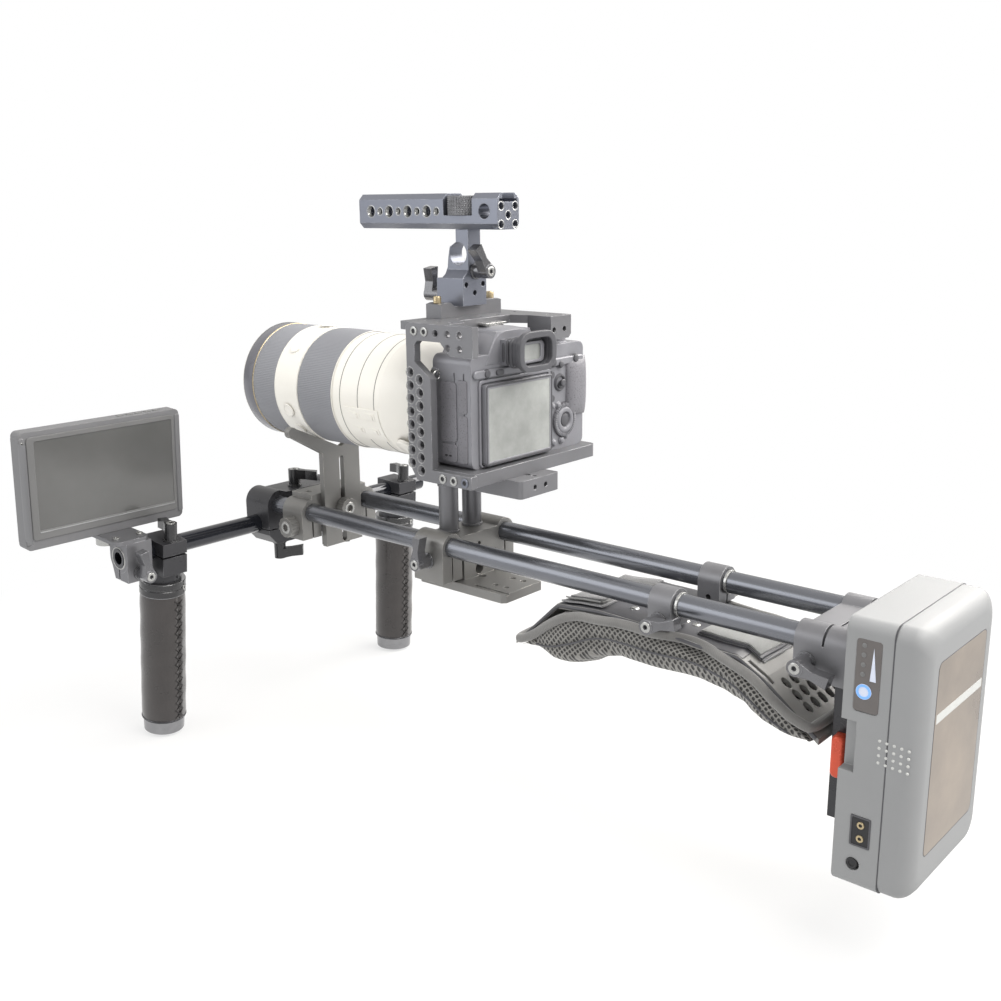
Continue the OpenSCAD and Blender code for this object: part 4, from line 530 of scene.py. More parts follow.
LEVERS = ("front_top_lever", "front_left_lever", "front_right_lever", "left_grip_lever", "right_grip_lever",
          "monitor_clamp_lever", "baseplate_lever", "handle_front_lever", "handle_rear_lever", "pad_lever",
          "battery_lever")
KNOB_HEIGHTS = {"lens_support_rod_knob": 8, "lens_support_height_knob": 8, "pad_knob": 9}


def levers_and_knobs():
    """A nylon washer under each lever, and a steel cap on each lever and knob."""
    washer = [(5.1, 0.3), (5.8, 0.25), (6.0, 0.45), (6.0, 0.95), (5.8, 1.15), (5.1, 1.2)]
    cap = [(1.6, 14.2), (1.7, 15.35), (3.1, 15.5), (3.6, 15.2), (3.6, 14.6)]
    for lever in LEVERS:
        spot = at_joint(lever + "_turn")
        turned(lever + "_washer", washer, 40, spot, lever, NYLON)
        turned(lever + "_cap", cap, 24, spot, lever, STEEL)
    for knob, tall in KNOB_HEIGHTS.items():
        cap = [(3.1, tall - 1), (3.2, tall + 0.3), (4.9, tall + 0.4), (5.4, tall - 0.2)]
        turned(knob + "_cap", cap, 24, at_joint(knob + "_turn"), knob, STEEL)


# Hand grips: sizes in mm, angles in degrees, heights down from the cross rod
WRAP_R = 18.1
WRAP_TOP = -38.2
WRAP_L = 111.2
SEAM_DEPTH = 0.7
SEAM_HALF = 3.0
LIP_RISE = 0.4
LIP_AT = 9
LIP_HALF = 5
RIM_ROLL = 0.35
STITCHES = 15
STITCH_TOP = -41.5
STITCH_PITCH = 7.1
STITCH_SPREAD = 25
STITCH_R = 18.0
STITCH_RISE = 0.45
STITCH_LAP = 0.2
COLLAR_SCREW_Z = -32
COLLAR_SCREW_TURN = 22


def leather_wrap(seam, rows=54, n=72):
    """Hide stretched round the grip, creased at its seam, rolled in at both rims, with faint waves."""
    points, faces = [], []
    for i in range(rows + 1):
        share = i / rows
        for k in range(n):
            a = 2 * math.pi * k / n
            off = (math.degrees(a) - seam + 180) % 360 - 180
            hollow = SEAM_DEPTH * math.exp(-(off / SEAM_HALF) ** 2)
            lip = LIP_RISE * math.exp(-((abs(off) - LIP_AT) / LIP_HALF) ** 2)
            roll = RIM_ROLL * (math.exp(-share * rows / 2) + math.exp(-(1 - share) * rows / 2))
            wave = 0.12 * math.sin(9 * share * math.pi + 2 * a) + 0.08 * math.sin(23 * share + 5 * a)
            taper = 0.1 * share
            r = WRAP_R - taper - hollow + lip - roll + wave
            points.append((*circle(r, a), WRAP_TOP - WRAP_L * share))
    for i in range(rows):
        for k in range(n):
            j = (k + 1) % n
            faces.append((i * n + k, (i + 1) * n + k, (i + 1) * n + j, i * n + j))
    return points, faces


def cross_stitches(seam):
    """Threads that cross over the seam, one lap on the other."""
    stitches = []
    for i in range(STITCHES):
        z0, z1 = STITCH_TOP - i * STITCH_PITCH, STITCH_TOP - (i + 1) * STITCH_PITCH
        for first, last in ((z0, z1), (z1, z0)):
            lap = STITCH_LAP if first > last else 0.0
            line = []
            for q in np.linspace(0, 1, 7):
                a = math.radians(seam + STITCH_SPREAD * (q - 0.5))
                r = STITCH_R + STITCH_RISE * math.sin(math.pi * q) + lap
                line.append((*circle(r, a), first + (last - first) * q))
            stitches.append(tube(line, 0.5, 8))
    return stitches


def grip(side, x, lean, seam):
    """One grip, that far across, leaning and with its seam at those angles."""
    body = side + "_grip"
    at = shifted(x, CROSS_Y, CROSS_Z) @ Matrix.Rotation(math.radians(lean), 4, "X")
    wrap = shape(side + "_leather_wrap", [leather_wrap(seam)], at, body, LEATHER)
    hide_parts(side + "_grip_leather")
    shape(side + "_cross_stitches", cross_stitches(seam), at, body, THREAD)
    collar = [(17.9, -26.1), (18.3, -26.5), (18.3, -30.6), (17.8, -31.1), (17.8, -32.1), (18.3, -32.6),
              (18.3, -37.2), (17.9, -37.7)]
    turned(side + "_collar_band", collar, 64, at, body, LEVER_BLACK)
    turn = math.radians(seam + COLLAR_SCREW_TURN)
    head = frame_at((*circle(WRAP_R, turn), COLLAR_SCREW_Z), (*circle(1, turn), 0))
    socket_screw(side + "_collar_screw", at @ head, body, radius=2.3, height=0.8)
    end = [(17.2, -149.2), (18.1, -149.5), (18.25, -150.2), (18.0, -150.9), (17.2, -151.1)]
    turned(side + "_end_ring", end, 64, at, body, BLACK)


# Monitor
MONITOR_X = -174
MONITOR_LEAN = 3.6


def monitor():
    """Bezel, panel, cheeks, port door and keys on the shell, and the screws of its mount."""
    at = shifted(MONITOR_X, CROSS_Y, CROSS_Z) @ Matrix.Rotation(math.radians(MONITOR_LEAN), 4, "X")
    face = at @ shifted(0, 14.5, 17.1) @ REARWARD
    bezel = band(rounded(-62, 62.4, 7, 86, 3), rounded(-56.2, 60.0, 14.2, 82.4, 1), -0.2, 0.75)
    shape("monitor_bezel", [bezel], face, "monitor", BEZEL, 0.35)
    panel = rounded(-56.3, 60.1, 14.1, 82.5, 1)
    shape("monitor_display_panel", [prism(panel, -0.1, 0.3)], face, "monitor", SCREEN)
    # a pale strip along the screen's lower edge: a painted highlight
    chin_highlight = rounded(-56.4, 60.2, 12.2, 13.2, 0.4)
    shape("monitor_chin_highlight", [prism(chin_highlight, 0.2, 1.0)], face, "monitor", SHELL, 0.2)
    cheeks = [rounded(-67.9, -63.2, 4, 86.5, 2.2), rounded(63.2, 67.9, 4, 86.5, 2.2)]
    shape("monitor_end_cheeks", [prism(cheek, -11.4, 0.9) for cheek in cheeks], face, "monitor", MONITOR, 1.0)
    door = face @ frame_at((-67.8, 0, 0), LEFT, FORWARD)  # X up, Y to the operator
    shape("monitor_port_door", [pillow(8, 83, -10.9, 0.2, rise=1.5, foot=-0.1)], door, "monitor", MONITOR)
    keys = [rounded(16 + 8 * i, 21.5 + 8 * i, 89.6, 90.6, 0.5) for i in range(5)]
    shape("monitor_top_keys", [prism(key, -7.6, -4.2) for key in keys], face, "monitor", BEZEL, 0.3)
    for i, y in enumerate((8.5, 82)):
        socket_screw(f"monitor_cheek_screw_{i}", face @ frame_at((-65.4, y, 0.8), UP), "monitor", 1.3, 0.5)
    rib = band(rounded(-34, 34, 18, 72, 3), rounded(-30, 30, 22, 68, 2), -18.8, -17.8)
    shape("monitor_rear_rib", [rib], face, "monitor", MONITOR, 0.4)
    for i, x in enumerate((-4.5, 16)):
        socket_screw(f"monitor_plate_screw_{i}", at @ frame_at((x, -3, 17.0), UP), "monitor_mount", 2.6, 1.4)
    turned("monitor_clamp_rim", [(8.05, 0.1), (8.3, 0.5), (8.9, 0.5), (9.2, 0.1)], 48,
           at @ frame_at((-1.4, 0, 0), LEFT), "monitor_mount", STEEL)


# Lens
ALONG_LENS = frame_at((0, 0, LENS_Z), FORWARD, (1, 0, 0))
THREADS = 9
THREAD_PITCH = 1.2
SWITCH_TURN = 205
SWITCH_R = 46.3


def on_lens(radius, y, turn):
    """A placing matrix on the barrel: Z looks away from its axis, at a turn in degrees from the right."""
    x, z = circle(1, math.radians(turn))
    return frame_at((radius * x, y, LENS_Z + radius * z), (x, 0, z), FORWARD)


def lens_front():
    """Lacquered rim, its brass line, the filter threads and the glass's retainer."""
    rim = [(46.9, 210.4), (47.35, 210.8), (47.5, 214), (47.4, 221.8), (46.6, 223.2), (43.4, 223.3),
           (42.6, 222.6)]
    turned("lens_rim_band", rim, 96, ALONG_LENS, "chassis", RIM)
    turned("lens_rim_line", [(47.0, 209.7), (47.4, 209.9), (47.4, 210.3), (47.0, 210.5)], 96, ALONG_LENS,
           "chassis", BRASS)
    threads = [(42.8 - 0.24 * i - (0.35 if i % 2 else 0), 222 - THREAD_PITCH * i) for i in range(THREADS)]
    wall = [(42.9, 222.4)] + threads + [(39.4, 211)]
    turned("lens_filter_threads", wall, 96, ALONG_LENS, "chassis", HOLLOW)
    retainer = [(39.6, 209.6), (39.2, 212.2), (35.6, 212.6), (34.4, 211.6)]
    turned("lens_glass_retainer", retainer, 96, ALONG_LENS, "chassis", HOLLOW)


def lens_barrel_details():
    """Seams, hold buttons, switch panel, collar cap and mount ring."""
    seams = ((113.2, 47.0, ENAMEL), (154.6, 47.0, ENAMEL), (181.4, 47.0, ENAMEL), (104.0, 46.1, FELT),
             (84.0, 46.1, FELT), (66.0, 46.1, FELT))
    for i, (y, r, material) in enumerate(seams):
        seam = [(r - 0.3, y - 0.45), (r + 0.12, y - 0.35), (r + 0.12, y + 0.1), (r - 0.3, y + 0.25)]
        turned(f"lens_seam_{i}", seam, 96, ALONG_LENS, "chassis", material)
    button = [(0, 0.35), (4.1, 0.5), (4.7, 1.0), (5.6, 1.0), (5.9, 0.2)]
    for i, turn in enumerate((200, 340, 90)):
        turned(f"lens_hold_button_{i}", button, 36, on_lens(47.6, 168, turn), "chassis", ENAMEL)
    middle = math.radians(SWITCH_TURN)
    panel = wrapped(62, 100, middle - 0.32, middle + 0.3, SWITCH_R)
    shape("lens_switch_panel", [panel], ROW, "chassis", ENAMEL, 0.5)
    spots = [(17 * (i % 2), middle + 0.27 * (i // 2)) for i in range(4)]
    wells = [wrapped(66 + y, 78 + y, a - 0.25, a - 0.13, SWITCH_R + 0.35, 4) for y, a in spots]
    shape("lens_switch_wells", wells, ROW, "chassis", ENAMEL, 0.2)
    sliders = [wrapped(68 + y, 72 + y, a - 0.23, a - 0.15, SWITCH_R + 1.1, 4) for y, a in spots]
    shape("lens_switch_sliders", sliders, ROW, "chassis", ENAMEL, 0.3)
    collar_cap = [(0, 1.2), (5.5, 1.3), (6.2, 1.0), (7.6, 1.0), (8.2, 0.2), (8.2, -2)]
    turned("lens_collar_cap", collar_cap, 40, on_lens(46, 48, 228), "chassis", ENAMEL)
    mount = [(36.6, 15.4), (38.3, 15.8), (38.3, 17.6), (36.9, 18.1)]
    turned("lens_mount_ring", mount, 72, ALONG_LENS, "chassis", STEEL)


def wrapped(y0, y1, turn0, turn1, radius, n=8):
    """A pad that lies round the barrel between two turns in radians, about a radius."""
    points = []
    for r in (radius - 0.6, radius + 0.5):
        for y in (y0, y1):
            for k in range(n + 1):
                x, z = circle(r, turn0 + (turn1 - turn0) * k / n)
                points.append((x, y, LENS_Z + z))
    m, faces = n + 1, []
    for lay in (0, 2 * m):
        faces += [(lay + k, lay + k + 1, lay + m + k + 1, lay + m + k) for k in range(n)]
    for k in range(n):
        faces += [(k, k + 1, 2 * m + k + 1, 2 * m + k), (m + k, m + k + 1, 3 * m + k + 1, 3 * m + k)]
    return points, faces + [(0, m, 3 * m, 2 * m), (n, m + n, 3 * m + n, 2 * m + n)]


def ribbed_ring(node):
    """A rubber lens ring with rounded ends and fine ribs along the lens."""
    low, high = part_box(node)
    y0, y1, r = low[1] / MM, high[1] / MM, (high[0] - low[0]) / 2 / MM
    profile = [(r - 3.2, y0), (r - 0.9, y0), (r - 0.25, y0 + 0.5), (r, y0 + 1.3), (r, y1 - 1.3),
               (r - 0.25, y1 - 0.5), (r - 0.9, y1), (r - 3.2, y1)]
    m = len(profile)
    points, faces = lathe(profile, 2 * RING_RIBS)
    sunk = 1 - 0.3 / r
    cut = [(x * sunk, y * sunk, z) if i // m % 2 and profile[i % m][0] == r else (x, y, z)
           for i, (x, y, z) in enumerate(points)]
    ring = shape(node + "_rubber", [(cut, faces)], ALONG_LENS, node, RIBBED)
    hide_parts(node)


# Camera
DISPLAY_BACK = 37.6
EYE_Z = 183
EYE_BACK = 47
WHEEL_TEETH = 44
REAR = shifted(0, -CAMERA_REAR, 0) @ REARWARD


def camera_display():
    """Glass and border of the folding display, and the frame that it folds into."""
    leaf = shifted(0, -DISPLAY_BACK, 0) @ REARWARD
    glass = rounded(-34.2, 36.6, 106.6, 160.6, 0.8)
    border = rounded(-35.8, 37.8, 104.8, 162.2, 2.4)
    shape("display_panel", [prism(glass, -0.1, 0.35)], leaf, "camera_display", GLASS_LCD)
    shape("display_border", [band(border, glass, 0.1, 0.8)], leaf, "camera_display", SMOKE, 0.25)
    well = band(rounded(-38.6, 40.6, 103.4, 165.6, 3), rounded(-36.8, 38.8, 104.2, 163.2, 2.4), -0.3, 1.6)
    shape("camera_rear_frame", [well], REAR, "chassis", CAMERA, 0.5)


def camera_back():
    """Thumb rest, ledge, keys, joystick and wheel on the camera's back."""
    shape("camera_thumb_rest", [pillow(60.5, 84.5, 126, 171, rise=5.2, foot=-0.4)], REAR, "chassis", GRAINED)
    ledge = rounded(-44, 80, 166.6, 172.4, 2.6)
    shape("camera_top_ledge", [prism(ledge, -0.6, 2.2)], REAR, "chassis", CAMERA, 1.0)
    for i, (x, z, r) in enumerate(((-31, 169.6, 2.7), (43, 169.6, 3.0), (70, 170.2, 2.8), (52, 167.5, 2.4))):
        key = [(0, 3.6), (r * 0.7, 3.6), (r, 3.1), (r, 1.8), (r + 0.7, 2.0), (r + 0.9, 1.4)]
        turned(f"camera_top_key_{i}", key, 28, shifted(x, -CAMERA_REAR, z) @ REARWARD, "chassis", SMOKE)
    menu_key = prism(rounded(-22, -14, 167.4, 171.4, 1.8), 0, 3.6)
    shape("camera_menu_key", [menu_key], REAR, "chassis", SMOKE, 0.6)
    cap = [(0, 4.6), (2.2, 4.5), (2.9, 3.9), (2.6, 2.6), (1.7, 1.2)]
    collar = [(4.3, 0), (4.9, 1.4), (5.9, 1.5), (6.5, 0.6), (6.8, 0)]
    shape("camera_joystick", [lathe(cap, 28), lathe(collar, 40)], shifted(53, -CAMERA_REAR, 153.5) @ REARWARD,
          "chassis", SMOKE)
    wheel = at_joint("rear_wheel_turn")
    turned("rear_wheel_button", [(0, -2.1), (3.9, -2.0), (4.6, -1.6), (4.8, -0.9)], 32, wheel,
           "camera_rear_wheel", SMOKE)
    teeth = [prism(wheel_tooth(2 * math.pi * i / WHEEL_TEETH), -2.5, -1.0) for i in range(WHEEL_TEETH)]
    shape("rear_wheel_teeth", teeth, wheel, "camera_rear_wheel", CAMERA)
    ring = [(5.6, -1.0), (6.2, -2.3), (7.4, -2.8), (8.8, -2.7), (9.8, -2.0), (10.1, -1.0)]
    turned("rear_wheel_ring", ring, 56, wheel, "camera_rear_wheel", CAMERA)
    keys = []
    spots = ((51, 136.5, 2.3), (45.5, 108.3, 2.4), (55, 108.8, 2.5), (60.5, 112, 2.2), (44.5, 136.5, 2.0))
    for x, z, r in spots:
        key = [(0, 2.2), (r * 0.6, 2.1), (r * 0.9, 1.6), (r, 0.7), (r + 0.5, 0.9), (r + 0.8, -0.2)]
        keys.append(moved(lathe(key, 26), x, z))
    shape("camera_back_keys", keys, REAR, "chassis", CAMERA)


def wheel_tooth(turn, foot_r=10.2, tip_r=12.5, foot_half=0.42, tip_half=0.5):
    """The outline of one tooth of the rear wheel."""
    out = Vector(circle(1, turn))
    side = Vector((-out.y, out.x))
    return [tuple(out * foot_r - side * foot_half), tuple(out * tip_r - side * tip_half),
            tuple(out * tip_r + side * tip_half), tuple(out * foot_r + side * foot_half)]


def camera_eyepiece():
    """Bellows behind the rubber cup, with a frame and glass inside it."""
    eye = shifted(0, -EYE_BACK, EYE_Z) @ REARWARD
    for i in range(3):
        fold = band(centred(17.6 - i, 11 - 0.7 * i, 5), centred(12, 7, 3), -3.6 - 4.2 * i, -0.9 - 4.2 * i)
        shape(f"eyecup_fold_{i}", [fold], eye, "chassis", SMOKE, 0.9)
    lip = rounded(-20.6, 20.6, -13.2, 15.2, 10.5)
    mouth = rounded(-15.2, 15.2, -8.9, 10.4, 6)
    waist = rounded(-16.8, 16.8, -10.6, 11.8, 6.5)
    rings = [band(lip, mouth, 5.4, 9.4), band(waist, mouth, -2.5, 5.6)]
    cup = shape("eyecup_bellows", rings, eye, "chassis", SMOKE, 1.2, subdivide=1)
    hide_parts("camera_eyecup")
    inset = band(centred(13.6, 7.6, 4.2), centred(9.4, 5.6, 2.6), 1.9, 3.4)
    shape("eyepiece_frame", [inset], eye, "chassis", CAMERA, 0.5)
    shape("eyepiece_glass", [prism(centred(9.5, 5.7, 2.6), 1.9, 2.4)], eye, "chassis", GLASS_LCD)


def camera_left_side():
    """Rubber doors with their seams, the slots under them and the strap's ring."""
    side = frame_at((-46, 0, 0), LEFT, TO_OPERATOR)  # X to the operator, Y up
    doors = [prism(rounded(4, 19.6, 121, 164, 2.5), -0.4, 0.9),
             prism(rounded(20.8, 29.6, 106.5, 141, 2), -0.4, 0.8),
             prism(rounded(20.8, 29.6, 142.2, 166, 2), -0.4, 0.8),
             prism(rounded(4, 19.6, 106.5, 119.8, 2.5), -0.4, 0.7)]
    shape("camera_left_doors", doors, side, "chassis", GRAINED, 0.5)
    # near black strips in the slots: painted shade
    slots = [prism(rounded(8 + 4 * i, 10.4 + 4 * i, 110.6, 111.8, 0.5), 0.5, 0.9) for i in range(2)]
    shape("camera_base_slots", slots, side, "chassis", HOLLOW)
    loop = []
    for k in range(20):
        x, z = circle(3.2, 2 * math.pi * k / 20)
        loop.append((x - 48.6, -3, z + 168))
    stub = [(-46, 0, 170.5), (-49.5, 0, 170.5)]
    shape("camera_strap_ring", [tube(loop, 0.7, 8, True), tube(stub, 2.0, 14)], ROW, "chassis", STEEL)


def hump_arch(width, height):
    """The hump's outline, widened and raised by shares."""
    foot = 175.5
    side = [(31.5, foot), (28.4, 181.5), (24.6, 188.5), (21.2, 194), (17, 197.6), (9, 199.2), (0, 199.6)]
    half = [(x * width, min(z, foot + (z - foot) * height)) for x, z in side]
    return half + [(-x, z) for x, z in half[-2::-1]]


def camera_top():
    """Dials, hump, hot shoe, and the grained skin of the camera's grip."""
    turned("camera_exposure_dial", [(0, 5.4), (5.6, 5.4), (6.6, 4.6), (6.6, 0.8), (7.0, 0)], 40,
           frame_at((44, -20, 182.4), UP), "chassis", GRAINED)
    turned("mode_dial_cap", [(0, 7.15), (6.2, 7.2), (6.9, 6.9)], 40, at_joint("mode_dial_turn"),
           "camera_mode_dial", CAMERA)
    sections = [(hump_arch(0.97, 0.9), -44), (hump_arch(0.99, 0.97), -41), (hump_arch(1, 1), -36),
                (hump_arch(1, 1), -8), (hump_arch(0.99, 0.98), -3), (hump_arch(0.96, 0.93), 0.4)]
    shape("camera_hump_shell", [loft(sections)], REAR, "chassis", CAMERA, smooth=50)
    rails = (rounded(-11, 11, 200.2, 201.8, 0.4), rounded(-8, 8, 199, 200.6, 0.3))
    shape("camera_hot_shoe", [prism(rail, -34, -16) for rail in rails], REAR, "chassis", STEEL, 0.3)
    grip_outline = rounded(55.6, 82.4, 5, 37.3, 11.4)
    shape("camera_grip_skin", [prism(grip_outline, 106, 164)], ROW, "chassis", GRAINED, 0.6)


# Cage and handle
CAGE_LEFT = -60.02
SCREW_LEFT = -60.1
HANDLE_LEFT = -11.5
HANDLE_REAR = 29
FIRST_BORE = 39.4
HOLE_PITCH = 19.6
KNURL_ROWS = 9
KNURLS = 44


def cage_screws():
    """Screws of the cage, the handle's rail clamp and the riser."""
    for i, y in enumerate((7, -3)):
        spot = frame_at((SCREW_LEFT, y, 199.4), LEFT)
        socket_screw(f"cage_top_screw_{i}", spot, "chassis", 3.3, 0.7, key=0.5)
    for i, (y, material) in enumerate(((-18, STEEL), (-28.5, STEEL), (-39, HANDLE))):
        spot = frame_at((SCREW_LEFT, y, 97.3), LEFT)
        socket_screw(f"cage_foot_screw_{i}", spot, "chassis", 3.4, 0.7, material, key=0.5)
    for i, x in enumerate((-26, 31)):
        spot = frame_at((x, 16.5, 216.0), UP)
        socket_screw(f"rail_clamp_screw_{i}", spot, "chassis", 2.9, 4.6, BRASS, key=0.5)
    for i, x in enumerate((-13, 13)):
        socket_screw(f"riser_screw_{i}", frame_at((x, 22, 80.05), UP), "chassis", 0.9, 0.3)


def hole_rims():
    """Countersunk rims of the cage's and handle's bored holes, and the collars of the riser's columns; the
    rims in bright steel are painted glints, and reach into the handle's bores as painted light.
    """
    cage_side = frame_at((CAGE_LEFT, 0, 0), LEFT, TO_OPERATOR)
    sink = lathe([(1.9, -1.4), (2.5, -0.25), (3.0, 0.06), (3.25, 0.02)], 28)
    block = ((-13.5, 199), (-25, 199), (-36, 199), (-25, 189.5), (-36, 189.5))
    shape("cage_block_rims", [moved(sink, -y, z) for y, z in block], cage_side, "chassis", GREY)
    # bright steel rims round the strip's holes: painted glints
    sink = lathe([(2.9, -1.0), (3.55, -0.2), (3.85, 0.07), (4.1, 0.02)], 28)
    strip = [(12 - 9 * column, 105 - 4.65 * column + 9.3 * i) for column in range(2) for i in range(8)]
    shape("cage_strip_glint_rims", [moved(sink, -y, z) for y, z in strip], cage_side, "chassis", STEEL)
    # bright steel cones in the handle's bores: painted glints, and painted light inside the bores
    bores = [(FIRST_BORE + HOLE_PITCH * i, 4.0) for i in range(4)]
    bores += [(FIRST_BORE + HOLE_PITCH * (i - 0.5), 2.5) for i in range(4)]
    rims = [moved(lathe([(r - 1.0, -2.6), (r - 0.1, -0.5), (r + 0.35, 0.1), (r + 0.7, 0.0)], 32), -y, 279.5)
            for y, r in bores]
    shape("handle_bore_glint_rims", rims, frame_at((HANDLE_LEFT, 0, 0), LEFT, TO_OPERATOR), "chassis", STEEL)
    collar = lathe([(7.4, 0.3), (8.3, 0.3), (8.3, 1.8), (7.4, 2.2)], 40)
    collars = [moved(collar, x, 22, z) for x in (-13, 13) for z in (42, 77.6)]
    shape("column_collars", collars, ROW, "chassis", GREY)
    # bright steel rims of the handle's end holes: painted glints
    rim = lathe([(2.45, -0.9), (2.5, -0.1), (3.1, 0.12), (3.3, 0.0)], 32)
    ends = [(-7.5, 270.5), (7.5, 270.5), (-7.5, 283), (7.5, 283), (0, 276.8)]
    shape("handle_end_glint_rims", [moved(rim, x, z, HANDLE_REAR) for x, z in ends], REARWARD, "chassis", STEEL)


def wheel_knurl():
    """Diamond knurling round the handle's wheel: small pyramids in staggered rows."""
    drum_r, rise, half_turn, half_z = 13.45, 0.65, 0.062, 0.68
    pyramids = []
    for row in range(KNURL_ROWS):
        for k in range(KNURLS):
            a = 2 * math.pi * (k + 0.5 * (row % 2)) / KNURLS
            z = -5.9 + 1.45 * row
            foot = [(*circle(drum_r, a + half_turn * u), z + half_z * v)
                    for u, v in ((1, 0), (0, 1), (-1, 0), (0, -1))]
            tip = (*circle(drum_r + rise, a), z)
            pyramids.append((foot + [tip], [(0, 1, 4), (1, 2, 4), (2, 3, 4), (3, 0, 4)]))
    shape("handle_wheel_knurl", pyramids, at_joint("handle_wheel_turn"), "handle_wheel", GREY, smooth=10)


# Rods
def rods():
    """Bright rings where the rods are joined and where they end."""
    rings = []
    for x in (-ROD_X, ROD_X):
        for y0, y1, r in ((-199.2, -196.8, 8.35), (226.8, 229.1, 7.6), (-311.1, -309.4, 7.6)):
            points, faces = lathe([(r - 0.6, y0), (r, y0 + 0.3), (r, y1 - 0.3), (r - 0.6, y1)], 48)
            rings.append(([(p[0] + x, p[2], p[1] + ROD_Z) for p in points], faces))
    shape("rod_end_rings", rings, ROW, "chassis", STEEL)


# Shoulder pad: its frame runs back from PAD_FRONT, and each line of it is a table of shares, the share of the
# length against the share of the drop below PAD_Z
PAD_FRONT = -67
PAD_L = 233
PAD_Z = 21.5
PAD_DROP = 44
FRAME_SHARES = ((0, .86), (.035, .72), (.16, .07), (.31, 0), (.46, .02), (.64, .11), (.76, .12), (.84, .35),
                (.93, .72), (1, 1))
BINDING_SHARES = ((0, .86), (.043, .781), (.083, .645), (.136, .426), (.189, .245), (.247, .156),
                  (.305, .134), (.368, .103), (.436, .095), (.489, .12), (.555, .112), (.618, .12),
                  (.68, .157), (.741, .222), (.789, .303), (.825, .398), (.861, .551), (.919, .753),
                  (.965, .855), (1, .92))
SILL_SHARES = ((0, .8), (.03, .86), (.069, .941), (.094, 1.026), (.125, 1.1), (.163, 1.11), (.2, 1.047),
               (.238, .945), (.281, .77), (.31, .682), (.352, .625), (.408, .629), (.476, .646), (.542, .637),
               (.6, .605), (.644, .609), (.681, .646), (.718, .682), (.761, .769), (.804, .928), (.84, 1.05),
               (.881, 1.146), (.939, 1.228), (1, 1.17))
CUSHION_SLACK = (0.965, 0.985)
CUSHION_DROP = 0.6
VOXEL = 4.5
CLOTH_STEPS = 20
SWELL_MOST = 5
ROOF_GAP = 4.2
SLICE = 6
SEWN_AT = 0.36
SEWN_HALF = 0.09
SEWN_PULL = 0.055
PIPING_R = 3.3
PIPING_STEP = 4.0
PIPING_X = 47.0
RING_HALF = 5
BARE_X = 44.0
EDGE_X = 38.6


def pad_line(table, y):
    """Height in mm of one of the pad's lines, from its table of shares."""
    lengths, drops = zip(*table)
    return PAD_Z - PAD_DROP * float(np.interp((PAD_FRONT - y) / PAD_L, lengths, drops))


def pad_top(y):
    """Height of the frame's upper face, in mm."""
    return pad_line(FRAME_SHARES, y)


def swell(o):
    """Blows a mesh up as cloth, with gravity off, and applies the result."""
    cloth = o.modifiers.new("cloth", "CLOTH")
    s = cloth.settings
    s.quality = 5
    s.mass = 0.3
    s.tension_stiffness = s.compression_stiffness = 20
    s.shear_stiffness = 10
    s.bending_stiffness = 2
    s.use_pressure = True
    s.uniform_pressure_force = 4.0
    s.effector_weights.gravity = 0.0
    scene = bpy.context.scene
    for step in range(1, CLOTH_STEPS + 1):
        scene.frame_set(step)
    bpy.ops.object.modifier_apply(modifier=cloth.name)
    scene.frame_set(1)


def spots_of(o):
    """The places of a mesh's vertices, as an array."""
    return np.array([v.co for v in o.data.vertices])


def cushion():
    """The pad's filling: the CAD form swelled by a cloth run, then its sewn line pulled in."""
    o = bpy.data.objects.new("cushion_cover", NODES["pad_cushion"].data.copy())
    bpy.context.scene.collection.objects.link(o)
    centre = spots_of(o).mean(0)
    for v in o.data.vertices:
        v.co.x *= CUSHION_SLACK[0]
        v.co.y = centre[1] + (v.co.y - centre[1]) * CUSHION_SLACK[1]
        v.co.z -= CUSHION_DROP * MM
    bpy.context.view_layer.objects.active = o
    o.select_set(True)
    mod = o.modifiers.new("even", "REMESH")
    mod.mode = "VOXEL"
    mod.voxel_size = VOXEL * MM
    bpy.ops.object.modifier_apply(modifier=mod.name)
    start = spots_of(o)
    swell(o)
    move = spots_of(o) - start
    far = np.linalg.norm(move, axis=1, keepdims=True)
    now = start + move * np.minimum(1, SWELL_MOST * MM / np.maximum(far, 1e-9))
    slices = {}
    for x, y, z in start:
        key = round(y / (SLICE * MM))
        lo, hi, wide = slices.get(key, (9.0, -9.0, 0.0))
        slices[key] = (min(lo, z), max(hi, z), max(wide, abs(x)))
    for p, first in zip(now, start):
        roof = min(pad_top(p[1] / MM + d) for d in (-4, 0, 4)) - ROOF_GAP
        p[2] = min(p[2], roof * MM)
        lo, hi, wide = slices[round(first[1] / (SLICE * MM))]
        height = (first[2] - lo) / max(hi - lo, 1e-6)
        if abs(first[0]) > wide * 0.75:  # the line where the lower panel is sewn to the sides
            p[0] *= 1 - SEWN_PULL * math.exp(-((height - SEWN_AT) / SEWN_HALF) ** 2)
    o.data.vertices.foreach_set("co", now.astype(np.float32).ravel())
    o.data.materials.clear()
    o.data.materials.append(MESH)
    o.data.polygons.foreach_set("use_smooth", [True] * len(o.data.polygons))
    soft = o.modifiers.new("soft", "SUBSURF")
    soft.levels = soft.render_levels = 1
    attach(o, "shoulder_pad")
    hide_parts("pad_cushion")
    return now


def evened(line, rounds=4):
    """A line of points with its widths evened out, its ends kept."""
    a = np.array(line)
    for _ in range(rounds):
        a[1:-1, 0] = (a[:-2, 0] + 2 * a[1:-1, 0] + a[2:, 0]) / 4
    return [tuple(q) for q in a]


